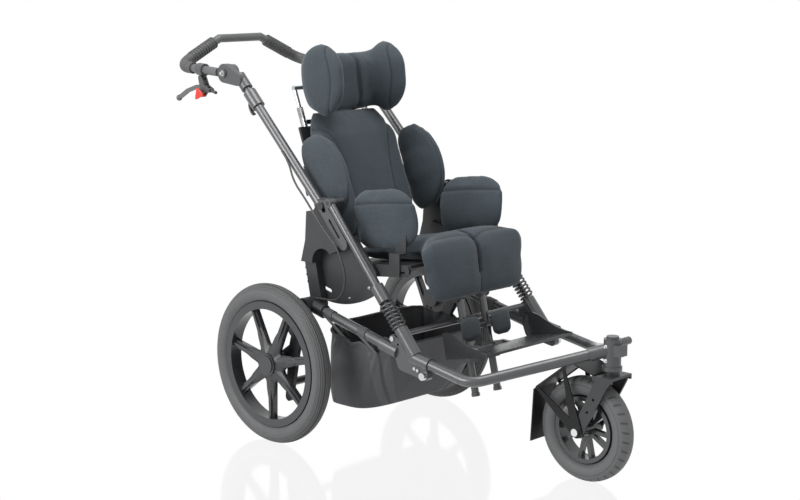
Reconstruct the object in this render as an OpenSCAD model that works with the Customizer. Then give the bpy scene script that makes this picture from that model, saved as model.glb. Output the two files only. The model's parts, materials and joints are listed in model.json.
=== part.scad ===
// Three-wheeled special needs buggy with sprung folding frame, tilting padded seat and adjustable push bar.
// Lengths are millimetres. The front is -Y, the rider's left is +X and the ground is Z = 0.

/* [Wheels] */
// Rear wheel radius
rear_wheel_r = 200; // [192:1:208]
// Rear tyre width
rear_tyre_w = 46; // [40:1:50]
// Distance from the middle plane to the middle of a rear wheel
half_track = 294; // [290:1:306]
// Front wheel radius
front_wheel_r = 123; // [116:1:126]
// Front tyre width
front_tyre_w = 50; // [44:1:53]
// Distance between the front and rear axles
wheelbase = 750; // [746:1:766]
// Distance between the caster stem and the front axle
trail = 66; // [62:1:70]
// Number of spokes in a rear wheel
rear_spokes = 7; // [5:1:9]
// Number of spoke pairs in the front wheel
front_spokes = 5; // [4:1:6]

/* [Frame] */
// Distance from the middle plane to each side frame
side_x = 232; // [230:1:236]
// Diameter of the side and front tubes
frame_tube_d = 25; // [22:1:26]
// Diameter of the strut tubes
strut_d = 18; // [16:1:20]
// Slope of the spring struts below the horizontal, degrees
strut_angle = 49.3; // [48.5:0.1:50]
// Length of a strut from its top pivot to its socket
strut_len = 358; // [352:1:362]
// Outer diameter of a strut spring
spring_d = 38; // [34:1:40]
// Wire diameter of a strut spring
spring_wire_d = 5; // [4:0.5:6]
// Number of curls in a strut spring
spring_turns = 6; // [4:1:6]

/* [Push bar] */
// Diameter of the outer push tubes
push_tube_d = 24; // [23:0.5:25]
// Diameter of the inner push tubes
inner_tube_d = 19; // [17:0.5:20]
// Slope of the push tubes above the horizontal, degrees
push_angle = 45.4; // [44:0.1:47]
// Length of an outer push tube
push_len = 360; // [345:1:362]
// Travel of the telescopic push bar
push_travel = 100; // [60:1:120]
// Diameter of the handle bar
handle_d = 22; // [20:1:24]
// Diameter of the grips
grip_d = 30; // [28:1:34]

/* [Seat] */
// Width of the seat cushion
seat_w = 266; // [250:1:268]
// Rise of the seat towards the front, degrees
seat_rake = 7; // [5:0.5:9]
// Thickness of the seat cushion
seat_t = 45; // [38:1:50]
// Lean of the back, degrees
back_rake = 20.5; // [18:0.5:22]
// Width of the back cushion
back_w = 278; // [260:1:278]
// Height of the back cushion along its lean
back_len = 338; // [300:1:340]
// Height of the headrest
headrest_h = 190; // [160:1:194]
// Overall depth of the headrest wings
headrest_depth = 182; // [150:1:185]

/* [Leg rest] */
// Diameter of the leg tubes
leg_tube_d = 18; // [16:1:20]
// Slope of the leg tubes from the vertical, degrees
leg_angle = 13.3; // [11:0.1:16]
// Travel of the foot carriage along the leg tubes
foot_travel = 70; // [40:1:75]
// Width of the footplate
foot_w = 314; // [280:1:330]
// Length of the footplate
foot_len = 143; // [120:1:150]
// Rise of the footplate towards the toes, degrees
foot_rake = 11.7; // [8:0.1:15]

/* [Hidden] */
$fn = 64;
right = -1;
left = 1;
// Radial gap of a fixed fit, of a running fit, gap between moving faces, and overrun of a cutter
fit = 0.1;
run = 0.06;
gap = 0.5;
over = 2;
// Depth by which touching outlines are drawn into each other, and thickness of a weld ring
bite = 0.02;
weld = 0.2;

// Side view places, [y, z] from the point on the ground below the rear axle
rear_joint_y = -77;
rear_joint_z = 350;
rear_joint = [rear_joint_y, rear_joint_z];
strut_top_y = -147;
strut_top_z = 608;
strut_top = [strut_top_y, strut_top_z];
fold_y = -118;
fold_z = 598;
fold = [fold_y, fold_z];
tilt_y = -85;
tilt_z = 421;
tilt = [tilt_y, tilt_z];
recline_y = -49;
recline_z = 450;
recline = [recline_y, recline_z];
angle_y = 244;
angle_z = 899;
angle_joint = [angle_y, angle_z];
rear_axle = [0, rear_wheel_r];
front_axle_at = [-wheelbase, front_wheel_r];
stem_y = -wheelbase - trail;

// Radii
tube_r = frame_tube_d / 2;
strut_r = strut_d / 2;
push_r = push_tube_d / 2;
inner_r = inner_tube_d / 2;
handle_r = handle_d / 2;
grip_r = grip_d / 2;
leg_r = leg_tube_d / 2;

// Layers from the strut inwards: push tube, post, tilt plate, pivot boss and seat arm
plane_gap = 1;
push_x = side_x - strut_r - plane_gap - push_r;
post_t = 32;
post_in = push_x - post_t / 2;
post_out = push_x + post_t / 2;
plate_t = 6;
plate_in = post_in - plate_t;
boss_t = 3.5;
arm_t = 7;
arm_out = plate_in - boss_t - gap;
arm_in = arm_out - arm_t;

// Struts and springs
strut_dir = [-cos(strut_angle), -sin(strut_angle)];
eye_r = 12;
strut_pin_r = 5;
collar_len = 44;
collar_r = 16;
rod_r = 6;
rod_in = 42;
spring_len = 74;
spring_r = (spring_d - spring_wire_d) / 2;
spring_pitch = (spring_len - 2 * spring_wire_d) / spring_turns;
collar_end = strut_len - spring_len - gap;
socket_len = 74;
socket_bore_r = 11;
socket_r = 16;

// Front joint casting, places from a point on the strut line
cast_past = 40;
cast_at = strut_len + cast_past;
cast_t = 16;
cast_r = 14;
cast_rear_y = 44;
cast_rear_z = 5.5;
cast_rear_r = 9;
cast_low_y = 15;
cast_low_z = -52;
cast_toe_y = -58;
cast_toe_z = -66;
cast_front_y = -40;
cast_front_z = -36;
cast_toe_r = 11;
side_in_y = 31;
side_in_z = -26;
front_in_y = -14;
front_in_z = -30;
hole_y = 27;
hole_z = -6;
hole_r = 3;
socket_grip = 56;
tube_stop = 6;
bar_y = 25;
bar_z = 17;
bar_r = 6.5;
bar_boss_r = 9;
bar_boss = 20;
cast = strut_top + strut_dir * cast_at;
side_end = cast + [side_in_y, side_in_z];
side_dir = (rear_joint - side_end) / norm(rear_joint - side_end);
front_start = cast + [front_in_y, front_in_z];
bend_y = -597;
bend_z = 245;
bend_r = 60;
front_bend = [bend_y, bend_z];
front_dir = (front_bend - front_start) / norm(front_bend - front_start);
cross_at = cast + [bar_y, bar_z];
knee_ahead = 9;
knee_z = 385;
knee = [cross_at[0] - knee_ahead, knee_z];
hole_at = cast + [hole_y, hole_z];

// Rear joint and wheel carrier
rear_block_r = 20;
rear_pin_r = 7;
post_eye_w = 20;
rear_socket_r = 17;
rear_socket_len = 50;
carrier_gap = 9;
carrier_t = 10;
carrier_out = half_track - rear_tyre_w / 2 - carrier_gap;
carrier_in = carrier_out - carrier_t;
knuckle_y = -42;
knuckle_up = 35;
knuckle_r = 17;
tail_y = -22;
tail_down = 88;
tail_r = 11;
axle_boss_r = 22;
stub_r = 6;
axle_tube_r = 10;
axle_tube_y = -29;
axle_tube_down = 50;
hub_in = 25;
hub_out = 21;
spacer_r = 14;
drum_r = 24;
drum_y = -36;
drum_up = 88;
drum_w = 14;

// Wheels
tyre_seat = 157;
rim_open = 138;
rim_w = 34;
rear_hub_r = 28;
spoke_t = 12;
spoke_rib_t = 22;
spoke_root = 13;
spoke_tip = 9;
rib_root = 5;
rib_tip = 3;
star_w = 27;
star_reach = 76;
star_t = 16;
cap_r = 23;
cap_t = 3;
groove_w = 3;
groove_d = 2.5;
groove_x = 8;
front_seat = 78;
front_open = 68;
front_rim_w = 36;
front_hub_r = 17;
front_hub_half = 31;
front_axle_r = 5;
front_spoke_t = 14;
front_spoke_w = 4.5;
front_fan = 13;

// Caster
crown_gap = 10;
crown_t = 6;
crown_z = 2 * front_wheel_r + crown_gap;
crown_top = crown_z + crown_t;
crown_half = 27;
leg_x = 33;
leg_t = 5;
leg_top_r = 17;
leg_low_r = 15;
leg_hole_r = 3.5;
leg_hole_shares = [0.35, 0.6];
stem_r = 10;
race_r = 17;
race_h = 10;
head_r = 20;
head_h = 72;
head_low = crown_top + race_h + gap;
head_top = head_low + head_h;
head_flange_r = 23;
head_flange_h = 9;
head_cap_r = 14;
head_cap_h = 6;
head_tube_drop = 24;
head_socket_r = 15.5;
head_socket_len = 54;
head_stop = 26;
clamp_y = 30;
clamp_w = 30;
clamp_h = 26;
knob_pin_r = 4;
knob_r = 9;
knob_len = 22;
knob_in = 14;
knob_y = -8;
knob_drop = 11;
knob_boss = 28;
guard_t = 3;
guard_half = 41.5;
guard_lip = 22;
guard_rise = 20;
guard_top_y = 19;
guard_back_y = 125;
guard_back_z = 77;
guard_low_y = 133;
guard_low_z = -47;
brace_t = 3;
brace_in = leg_x + leg_t + gap;
brace_shares = [0.2, 0.92];
nut_r = 9;
nut_t = 8;

// Carriers, posts and tilt plates
ear_t = 7;
ear_r = 20;
fold_pin_r = 6;
tongue_half = 8.5;
tongue_r = 16;
tongue_back = 30;
carrier_w = 131;
carrier_h = 126;
carrier_base_y = -35;
carrier_base_z = 452;
arch_y = -77;
arch_z = 3;
arch_r = 37;
post_top_y = -55;
post_half = 19;
post_rib = 3;
lug_r = 11;
plate_r = 244;
plate_hole_r = 95;
plate_y = -7;
plate_from = 50;
plate_to = 112;
plate_slot_y = 20;
plate_slot_z = -216;
plate_slot = 22;
plate_slot_r = 5;
tilt_boss_r = 20;
tilt_pin_r = 8;
rail_w = 9;
rail_from = 20;
rail_to = 195;
rail_off = 26;
slide_t = 6.5;
slide_r = 15;
slide_len = 111;
slide_travel = 12;
slide_angle = 229.7;
slit_r = 3;
slit_from = 42;
slit_to = 92;
bolt_head_r = 9;
bolt_head_t = 4;

// Push bar and handle
push_dir = [cos(push_angle), sin(push_angle)];
push_root = fold + [tongue_back, 0];
grip_collar_r = 17;
grip_collar_len = 48;
inner_hold = 50;
inner_from = push_len - push_travel - inner_hold;
inner_to = 402;
inner_wall = 2;
boss_r = 15;
boss_from = 372;
boss_to = 415;
disc_r = 24;
disc_half = 17;
button_r = 11;
button_in = 4;
button_out = 21;
handle_disc_r = 22;
tongue_tip_r = 8;
arm_from = 40;
arm_end_y = 440;
arm_end_z = 909;
arm_bend_r = 36;
bar_end_x = 72;
bar_end_y = 446;
bar_end_z = 975;
arm_start = angle_joint + [arm_from, 0];
handle_path = [[push_x, arm_start[0], arm_start[1]], [push_x, arm_end_y, arm_end_z],
    [bar_end_x, bar_end_y, bar_end_z]];
grip_start = 385;
grip_stop = 24;
grip_ribs = 10;
rib_w = 4;
rib_h = 1.5;
rib_step = 9;
rib_first = 44;
grip_dir = (handle_path[2] - handle_path[1]) / norm(handle_path[2] - handle_path[1]);
grip_end = handle_path[2] - grip_dir * grip_stop;
grip_from = [push_x, grip_start, arm_start[1]
    + (arm_end_z - arm_start[1]) * (grip_start - arm_start[0]) / (arm_end_y - arm_start[0])];

// Brake lever on the right arm
clamp_at = 350;
clamp_len = 24;
clamp_r = 16;
lever_y = 340;
lever_z = 856;
lever_pivot = [lever_y, lever_z];
cheek_in = 5;
cheek_t = 4;
cheek_r = 10;
neck_drop = 21;
neck_r = 7;
lever_half = 4;
lever_root_r = 9;
lever_pin_r = 4;
lever_w = 5;
lever_run = 32;
lever_rise = 2;
lever_mid = 70;
lever_tip = 108;
lever_mid_z = -10;
lever_tip_z = -31;
ball_r = 8;
tab_y = 12;
tab_z = -18;
tab_r = 6;
tab_len = 14;
tab_drop = 2;
tab_tip_r = 5;
tab_pin_r = 3;
barrel_r = 4;
barrel_y = -20;
barrel_z = -5;
barrel_len = 24;

// Brake cable, [x, y, z] on the right side
cable_r = 2.5;
cable_sides = 8;
cable_low = [[-240, -86, 592], [-240, -104, 573], [-240, -130, 546], [-240, -155, 524], [-240, -174, 506],
    [-240, -190, 480], [-240, -201, 455], [-240, -204, 430], [-239, -199, 408], [-238, -188, 390],
    [-236, -170, 376], [-234, -146, 371], [-233, -118, 370], [-232, -91.7, 367.6]];
cable_top = [[-224.8, 30, 717.7], [-225.2, 15, 702], [-229, -2, 683], [-236, -20, 660], [-240, -38, 641],
    [-240, -55, 624], [-240, -70, 609], [-240, -85, 593]];

// Seat base and cushion
base_y = -106;
base_z = 441;
base_len = 258;
base_t = 8;
arm_mid_y = -140;
arm_mid_z = 440;
arm_mid_r = 16;
arm_front_y = -348;
arm_front_z = 461;
arm_front_r = 14;
arm_root_r = 22;
recline_lug_x = 122;
recline_lug_t = 8;
recline_pin_r = 6;
recline_r = 12;
knee_lug_x = 51;
knee_lug_t = 6;
knee_pin_r = 6;
knee_r = 12;
knee_root_y = -352;
knee_root_z = 459;
seat_run = 256;
seat_turn = 85.4;
seat_bend_r = 34;
seat_flap = 94;
flap_t = 36;
flap_in = 6;
front_rise = 16;
flap_w = 352;
seat_rear_y = -106;
seat_rear_z = 468.5;
seat_bend_end = seat_run + seat_bend_r * seat_turn * PI / 180;
seat_path_len = seat_bend_end + seat_flap;
flap_spread = 44;
seam_w = 10;
seam_share = 0.28;
flap_start_share = 0.94;
seat_corner_share = 0.10;
seat_draw_share = 0.012;

// Hip pads
hip_in = 134;
hip_t = 28;
hip_y = -256;
hip_z = 571;
hip_half_len = 109;
hip_half_h = 76;
hip_bar_t = 4;
hip_bar_w = 34;
hip_bar_y = -318;
hip_bar_low = 445;
hip_bar_top = 545;
hip_step_z = 496;
hip_rod_r = 4;
hip_rod_z = 452;
hip_rod_half = 9;
hip_rod_len = 36;
hip_travel = 20;
hip_rod = [hip_bar_y, hip_rod_z];
hip_corner_share = 0.34;
pad_draw_share = 0.03;

// Back
back_up = [sin(back_rake), cos(back_rake)];
back_out = [-cos(back_rake), sin(back_rake)];
upright_x = 112;
upright_r = 8;
upright_len = 388;
eye_in = 104;
panel_half = 140;
panel_from = 24;
panel_to = 336;
panel_near = 6;
panel_far = 13;
flange_t = 4;
flange_back = 12;
flange_from = 160;
flange_to = 240;
brace_low = 60;
brace_high = 350;
brace_r = 6;
back_from = 26;
back_near = 13.3;
back_t = 45;
post_r = 5;
post_depth = 110;
back_corner_share = 0.12;
back_draw_share = 0.02;
back_channel = 62;
back_channel_w = 14;
back_channel_share = 0.22;

// Side pads
pad_t = 29;
pad_mid = 182;
pad_half_h = 118;
pad_near = 42;
pad_far = 168;
pad_bar_t = 4;
pad_bar_out = 12.5;
pad_bar_in = panel_half + pad_bar_out;
pad_in = pad_bar_in + pad_bar_t + gap / 2;
pad_travel = 30;
pad_bar_half = 18;
pad_bar_to = 112;
pad_bar_from = -9;
pad_rod_r = 4;
pad_rod_half = 10;
pad_rod_to = 125;
pad_corner_share = 0.24;
pad_bow_share = 0.42;

// Headrest
head_y = 72;
head_z = 884;
head_rake = 6;
head_t = 58;
head_half_x = 106;
head_bend_r = 60;
head_up = [sin(head_rake), cos(head_rake)];
head_out = [-cos(head_rake), sin(head_rake)];
head_run = headrest_depth - head_bend_r - head_t / 2;
head_flat = 2 * (head_half_x - head_bend_r);
head_arc = head_bend_r * PI / 2;
head_path_len = 2 * head_run + 2 * head_arc + head_flat;
yoke_s = 440;
yoke_r = 6;
head_mid_share = 0.8;
ear_from_share = 0.46;
ear_grow_share = 0.2;
ear_end_share = 0.72;

// Leg rest
leg_x_at = 40;
leg_down = [-sin(leg_angle), -cos(leg_angle)];
leg_out = [-cos(leg_angle), sin(leg_angle)];
knee_eye_in = 28;
knee_eye_r = 11;
leg_cap_r = 10.5;
leg_cap_len = 8;
leg_tie_s = 78;
leg_tie_r = 7;
calf_x = 55;
calf_half_w = 40;
calf_half_h = 36;
calf_near = 23;
calf_t = 22;
calf_block_half = 9;
calf_corner_share = 0.22;
slide_from = 122;
slide_to = 160;
leg_end = 4;
leg_len = slide_to + foot_travel + leg_cap_len + leg_end;
slide_half = 14;
foot_hinge_s = 131;
foot_hinge_o = 22;
foot_pin_r = 5;
foot_pin_half = 68;
foot_eye_r = 9;
foot_lug_x = 56;
foot_lug_t = 10;
foot_t = 6;
foot_from = 13;
wall_t = 4;
wall_h = 62;
tie_bar_r = 8;

// Basket
basket_rear_y = -66;
basket_front_y = -288;
basket_rear_z = 285;
basket_front_z = 262;
basket_low_z = 103;
basket_low_front = -214;
basket_low_rear = -72;
basket_rear_half = 178;
basket_front_half = 204;
basket_low_half = 176;
basket_t = 3;
basket_square = 0.42;
basket_sides = 32;
basket_level_shares = [[0, 1], [0.3, 1], [0.62, 1], [0.86, 0.99], [0.97, 0.95], [1, 0.86], [1, 0.45]];
strap_w = 20;
strap_t = 3;
strap_tube = 2.5;
strap_gap = 0.4;
strap_front = -262;
strap_rear = -148;
strap_low = 14;

// Joint screws
screw_r = 6;
screw_t = 4;
small_screw_r = 4;
toe_knob_r = 9;
toe_knob_t = 11;
screw_pitch = 10;

// The frame's origin lies on the ground below the middle of the whole length
rear_reach = grip_end[1] + (grip_r + rib_h) * sqrt(1 - grip_dir[1] * grip_dir[1]);
rear_axle_y = (wheelbase + front_wheel_r - rear_reach) / 2;

// Colours
graphite = [0.17, 0.18, 0.19];
charcoal = [0.10, 0.10, 0.11];
stone = [0.42, 0.43, 0.44];
silver = [0.72, 0.73, 0.74];
rubber = [0.07, 0.07, 0.08];
slate = [0.20, 0.24, 0.28];
red = [0.75, 0.10, 0.10];

// Helpers
function unit(v) = v / norm(v);
function at_x(x, p) = [x, p[0], p[1]];
function on_strut(s) = strut_top + strut_dir * s;
function on_push(s) = push_root + push_dir * s;
function on_back(s, o) = recline + back_up * s + back_out * o;
function on_leg(s, o) = knee + leg_down * s + leg_out * o;
function polar(r, a) = [r * cos(a), r * sin(a)];

// Moves a piece from the rear axle's frame to the part's own frame
module placed() {
    translate([0, rear_axle_y, 0]) children();
}

// Shows a piece that is drawn for the left on either side
module sided(s) {
    if (s < 0) mirror([1, 0, 0]) children();
    else children();
}

// Round bar between two points
module rod(p, q, r) {
    v = q - p;
    translate(p) rotate([0, acos(v[2] / norm(v)), atan2(v[1], v[0])]) cylinder(h = norm(v), r = r);
}

// Round bar along X through a side view place
module pin(x0, x1, p, r) {
    translate([x0, p[0], p[1]]) rotate([0, 90, 0]) cylinder(h = x1 - x0, r = r);
}

// Side view outline given a width along X
module slab(x0, x1) {
    translate([x0, 0, 0]) rotate([90, 0, 90]) linear_extrude(x1 - x0) children();
}

module disc(p, r) {
    translate(p) circle(r);
}

// Outline of two discs and the straight lines that touch both
module link(p, rp, q, rq) {
    a = atan2(q[1] - p[1], q[0] - p[0]);
    b = acos((rp - rq) / norm(q - p));
    disc(p, rp);
    disc(q, rq);
    polygon([p + polar(rp - bite, a + b), p + polar(rp - bite, a - b), q + polar(rq - bite, a - b),
        q + polar(rq - bite, a + b)]);
}

// Copies of an outline round the middle
module around(n) {
    for (k = [0 : n - 1]) rotate(360 * k / n) children();
}

// Bent bar: straight runs and round bends joined by weld rings
function bend_cut(p, i, r) = r * tan(acos(unit(p[i] - p[i - 1]) * unit(p[i + 1] - p[i])) / 2);
module elbow(a, b, c, r, bar) {
    u = unit(b - a);
    v = unit(c - b);
    turn = acos(u * v);
    w = unit(cross(u, v));
    x = cross(u, w);
    start = b - u * r * tan(turn / 2);
    o = start - x * r;
    multmatrix([[x[0], u[0], w[0], o[0]], [x[1], u[1], w[1], o[1]], [x[2], u[2], w[2], o[2]]])
        rotate_extrude(angle = turn) translate([r, 0]) circle(bar);
}
module bent(p, radii, bar) {
    n = len(p) - 1;
    for (i = [0 : n - 1]) {
        d = unit(p[i + 1] - p[i]);
        from = i == 0 ? p[0] : p[i] + d * bend_cut(p, i, radii[i]);
        to = i == n - 1 ? p[n] : p[i + 1] - d * bend_cut(p, i + 1, radii[i + 1]);
        rod(from, to, bar);
        if (i > 0) rod(from - d * weld, from + d * weld, bar + weld);
        if (i < n - 1) rod(to - d * weld, to + d * weld, bar + weld);
    }
    for (i = [1 : n - 1]) elbow(p[i - 1], p[i], p[i + 1], radii[i], bar);
}

// Tube swept along points, each with a direction square to the run
function run_dir(p, i) = unit(p[min(i + 1, len(p) - 1)] - p[max(i - 1, 0)]);
module sweep(p, across, r, sides) {
    n = len(p);
    points = [for (i = [0 : n - 1])
        let (t = run_dir(p, i), e = unit(across[i] - t * (across[i] * t)), f = cross(t, e))
        for (k = [0 : sides - 1]) p[i] + (e * cos(360 * k / sides) + f * sin(360 * k / sides)) * r];
    walls = [for (i = [0 : n - 2]) for (k = [0 : sides - 1]) let (m = (k + 1) % sides)
        for (h = [0, 1]) h == 0 ? [i * sides + k, (i + 1) * sides + k, (i + 1) * sides + m]
            : [i * sides + k, (i + 1) * sides + m, i * sides + m]];
    first = [for (k = [1 : sides - 2]) [0, k, k + 1]];
    last = [for (k = [1 : sides - 2]) [(n - 1) * sides, (n - 1) * sides + k + 1, (n - 1) * sides + k]];
    polyhedron(points = points, faces = concat(walls, first, last));
}

// Padded form over a grid of -1 to 1 both ways, closed along its rim
function pad_low(i, j, nu, nv) = i == 0 || i == nu || j == 0 || j == nv ? i * (nv + 1) + j
    : (nu + 1) * (nv + 1) + (i - 1) * (nv - 1) + j - 1;
function pad_top(i, j, nv) = i * (nv + 1) + j;
module pad(nu, nv, f) {
    points = concat([for (i = [0 : nu]) for (j = [0 : nv]) f(2 * i / nu - 1, 2 * j / nv - 1, 1)],
        [for (i = [1 : nu - 1]) for (j = [1 : nv - 1]) f(2 * i / nu - 1, 2 * j / nv - 1, -1)]);
    faces = [for (i = [0 : nu - 1]) for (j = [0 : nv - 1]) let (same = (2 * i < nu) == (2 * j < nv))
        for (h = [0 : 3]) let (low = h > 1, c = [for (k = [[0, 0], [1, 0], [1, 1], [0, 1]])
            low ? pad_low(i + k[0], j + k[1], nu, nv) : pad_top(i + k[0], j + k[1], nv)],
            t = same ? (h % 2 == 0 ? [c[0], c[2], c[1]] : [c[0], c[3], c[2]])
                : (h % 2 == 0 ? [c[0], c[3], c[1]] : [c[1], c[3], c[2]]))
            low ? [t[0], t[2], t[1]] : t];
    polyhedron(points = points, faces = faces);
}
// Crowned section with rounded corners and drawn-in sides
function pad_at(x, y, side, a, b, up, down, corner_share, draw_share) =
    let (k = 1 - corner_share * pow(abs(x), 5) * pow(abs(y), 5),
        d = sqrt(max(0, (1 - pow(abs(x), 5)) * (1 - pow(abs(y), 5)))))
    [a * x * k * (1 - draw_share * (1 - y * y) * abs(x)), b * y * k * (1 - draw_share * (1 - x * x) * abs(y)),
        side > 0 ? up * d : -down * d];

// Side tube from the front joint to the rear joint
module side_tube(s) {
    a = side_end + side_dir * (tube_stop + gap);
    b = rear_joint - side_dir * (rear_block_r + gap);
    color(graphite) placed() sided(s) rod(at_x(side_x, a), at_x(side_x, b), tube_r);
}

// Front joint casting that takes the side tube, the front tube, the strut and the cross bar
module front_joint(s) {
    p_rear = cast + [cast_rear_y, cast_rear_z];
    p_low = cast + [cast_low_y, cast_low_z];
    p_toe = cast + [cast_toe_y, cast_toe_z];
    p_front = cast + [cast_front_y, cast_front_z];
    color(graphite) placed() sided(s) difference() {
        union() {
            slab(side_x - cast_t / 2, side_x + cast_t / 2) {
                link(p_rear, cast_rear_r, p_low, cast_r);
                link(p_low, cast_r, p_toe, cast_toe_r);
                link(p_toe, cast_toe_r, p_front, cast_r);
                link(p_front, cast_r, p_rear, cast_rear_r);
                polygon([p_rear, p_low, p_toe, p_front]);
            }
            rod(at_x(side_x, on_strut(strut_len)), at_x(side_x, on_strut(strut_len + socket_len)), socket_r);
            rod(at_x(side_x, side_end), at_x(side_x, side_end + side_dir * socket_grip), socket_r);
            rod(at_x(side_x, front_start), at_x(side_x, front_start + front_dir * socket_grip), socket_r);
            pin(side_x - bar_boss, side_x, cross_at, bar_boss_r);
        }
        rod(at_x(side_x, on_strut(strut_len - over)),
            at_x(side_x, on_strut(strut_len + socket_len - tube_stop)), socket_bore_r);
        rod(at_x(side_x, side_end + side_dir * tube_stop),
            at_x(side_x, side_end + side_dir * 2 * socket_grip), tube_r + fit);
        rod(at_x(side_x, front_start + front_dir * tube_stop),
            at_x(side_x, front_start + front_dir * 2 * socket_grip), tube_r + fit);
        pin(side_x - cast_t, side_x + cast_t, hole_at, hole_r);
    }
}

// Rear joint with the post pivot, the side tube socket, the wheel carrier and the stub axle
module rear_joint_part(s) {
    knuckle = rear_axle + [knuckle_y, knuckle_up];
    tail = rear_axle + [tail_y, -tail_down];
    inner = post_in + post_eye_w + gap;
    drum = rear_axle + [drum_y, drum_up];
    color(charcoal) placed() sided(s) difference() {
        union() {
            pin(inner, carrier_out, rear_joint, rear_block_r);
            pin(post_in, inner + over, rear_joint, rear_pin_r);
            rod(at_x(side_x, rear_joint), at_x(side_x, rear_joint - side_dir * rear_socket_len),
                rear_socket_r);
            slab(carrier_in, carrier_out) {
                link(rear_joint, rear_block_r, knuckle, knuckle_r);
                link(knuckle, knuckle_r, tail, tail_r);
                link(knuckle, knuckle_r, rear_axle, axle_boss_r);
            }
            pin(carrier_in - drum_w, carrier_in + over, drum, drum_r);
            pin(carrier_in, half_track - hub_in - gap, rear_axle, spacer_r);
            pin(carrier_in, half_track + hub_out - cap_t, rear_axle, stub_r);
        }
        rod(at_x(side_x, rear_joint - side_dir * rear_block_r),
            at_x(side_x, rear_joint - side_dir * 2 * rear_socket_len), tube_r + fit);
    }
}

// V-shaped front tubes that run from both joints to the caster head
head_at = [0, stem_y, head_top - head_tube_drop];
head_dir = unit(at_x(side_x, front_bend) - head_at);
module front_frame() {
    color(graphite) placed() for (s = [right, left]) sided(s)
        bent([at_x(side_x, front_start + front_dir * (tube_stop + gap)), at_x(side_x, front_bend),
            head_at + head_dir * (head_stop + gap)], [0, bend_r, 0], tube_r);
}

// Caster head with its bearing bore, clamp and knob boss
module head_block() {
    color(charcoal) placed() difference() {
        union() {
            translate([0, stem_y, head_low]) cylinder(h = head_h, r = head_r);
            translate([0, stem_y, head_low]) cylinder(h = head_flange_h, r = head_flange_r);
            translate([0, stem_y, head_top]) cylinder(h = head_cap_h, r = head_cap_r);
            translate([-clamp_w / 2, stem_y - clamp_y, head_top - head_tube_drop - clamp_h / 2])
                cube([clamp_w, clamp_y, clamp_h]);
            pin(0, knob_boss, [stem_y + knob_y, head_top - knob_drop], knob_r);
            for (s = [right, left]) sided(s)
                rod(head_at, head_at + head_dir * head_socket_len, head_socket_r);
        }
        for (s = [right, left]) sided(s)
            rod(head_at + head_dir * head_stop, head_at + head_dir * 2 * head_socket_len, tube_r + fit);
        translate([0, stem_y, head_low - over]) cylinder(h = head_h - tube_stop, r = stem_r + run);
        pin(0, knob_boss + over, [stem_y + knob_y, head_top - knob_drop], knob_pin_r + run);
    }
}

// Bar between the two front joints
module cross_bar() {
    color(graphite) placed() pin(bar_boss - side_x, side_x - bar_boss, cross_at, bar_r);
}

// Tube between the two wheel carriers
module axle_tube() {
    color(graphite) placed()
        pin(-carrier_in, carrier_in, rear_axle + [axle_tube_y, -axle_tube_down], axle_tube_r);
}

// Open cloth basket: outside from rim to floor, then inside back to the rim
function basket_ring(level, share, wall) =
    let (front = basket_front_y + (basket_low_front - basket_front_y) * level,
        rear = basket_rear_y + (basket_low_rear - basket_rear_y) * level,
        mid = (front + rear) / 2, half = (rear - front) / 2 - wall)
    [for (k = [0 : basket_sides - 1])
        let (c = cos(360 * k / basket_sides), d = sin(360 * k / basket_sides),
            y = mid + half * share * sign(d) * pow(abs(d), basket_square),
            t = (y - basket_front_y) / (basket_rear_y - basket_front_y),
            rim = basket_front_z + (basket_rear_z - basket_front_z) * t,
            w_rim = basket_front_half + (basket_rear_half - basket_front_half) * t,
            w = w_rim + (basket_low_half - w_rim) * level - wall)
        [w * share * sign(c) * pow(abs(c), basket_square), y,
            rim + (basket_low_z - rim) * level + (level > 0 ? wall * min(1, 3 * level) : 0)]];
module basket_shell() {
    n = basket_sides;
    m = len(basket_level_shares);
    outer = [for (q = basket_level_shares) each basket_ring(q[0], q[1], 0)];
    inner = [for (i = [m - 1 : -1 : 0])
        let (q = basket_level_shares[i]) each basket_ring(q[0], q[1], basket_t)];
    mid_y = (basket_low_front + basket_low_rear) / 2;
    points = concat(outer, inner, [[0, mid_y, basket_low_z], [0, mid_y, basket_low_z + basket_t]]);
    low = 2 * m * n;
    walls = [for (i = [0 : 2 * m - 1]) if (i != m - 1) for (k = [0 : n - 1])
        let (a = i * n, b = (i + 1) % (2 * m) * n, o = (k + 1) % n)
        for (h = [0, 1]) h == 0 ? [a + k, a + o, b + o] : [a + k, b + o, b + k]];
    floor_out = [for (k = [0 : n - 1]) [(m - 1) * n + k, (m - 1) * n + (k + 1) % n, low]];
    floor_in = [for (k = [0 : n - 1]) [m * n + (k + 1) % n, m * n + k, low + 1]];
    polyhedron(points = points, faces = concat(walls, floor_out, floor_in));
}
// Strap from the basket rim to a loop round the side tube
module basket_strap(y) {
    t = (y - basket_front_y) / (basket_rear_y - basket_front_y);
    w = basket_front_half + (basket_rear_half - basket_front_half) * t + strap_gap;
    rim = basket_front_z + (basket_rear_z - basket_front_z) * t;
    p = side_end + side_dir * (y - side_end[0]) / side_dir[0];
    a = at_x(side_x, p - side_dir * strap_w / 2);
    b = at_x(side_x, p + side_dir * strap_w / 2);
    loop_r = tube_r + strap_gap + strap_tube;
    difference() {
        union() {
            rod(a, b, loop_r);
            translate([0, y + strap_w / 2, 0]) rotate([90, 0, 0]) linear_extrude(strap_w)
                polygon([[w, rim - strap_low], [w + strap_t, rim - strap_low],
                    [side_x - tube_r, p[1]], [side_x - loop_r, p[1] + strap_t]]);
        }
        rod(a + (a - b), b + (b - a), tube_r + strap_gap);
    }
}
module basket() {
    color(charcoal) placed() {
        basket_shell();
        for (s = [right, left]) for (y = [strap_front, strap_rear]) sided(s) basket_strap(y);
    }
}

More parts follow.
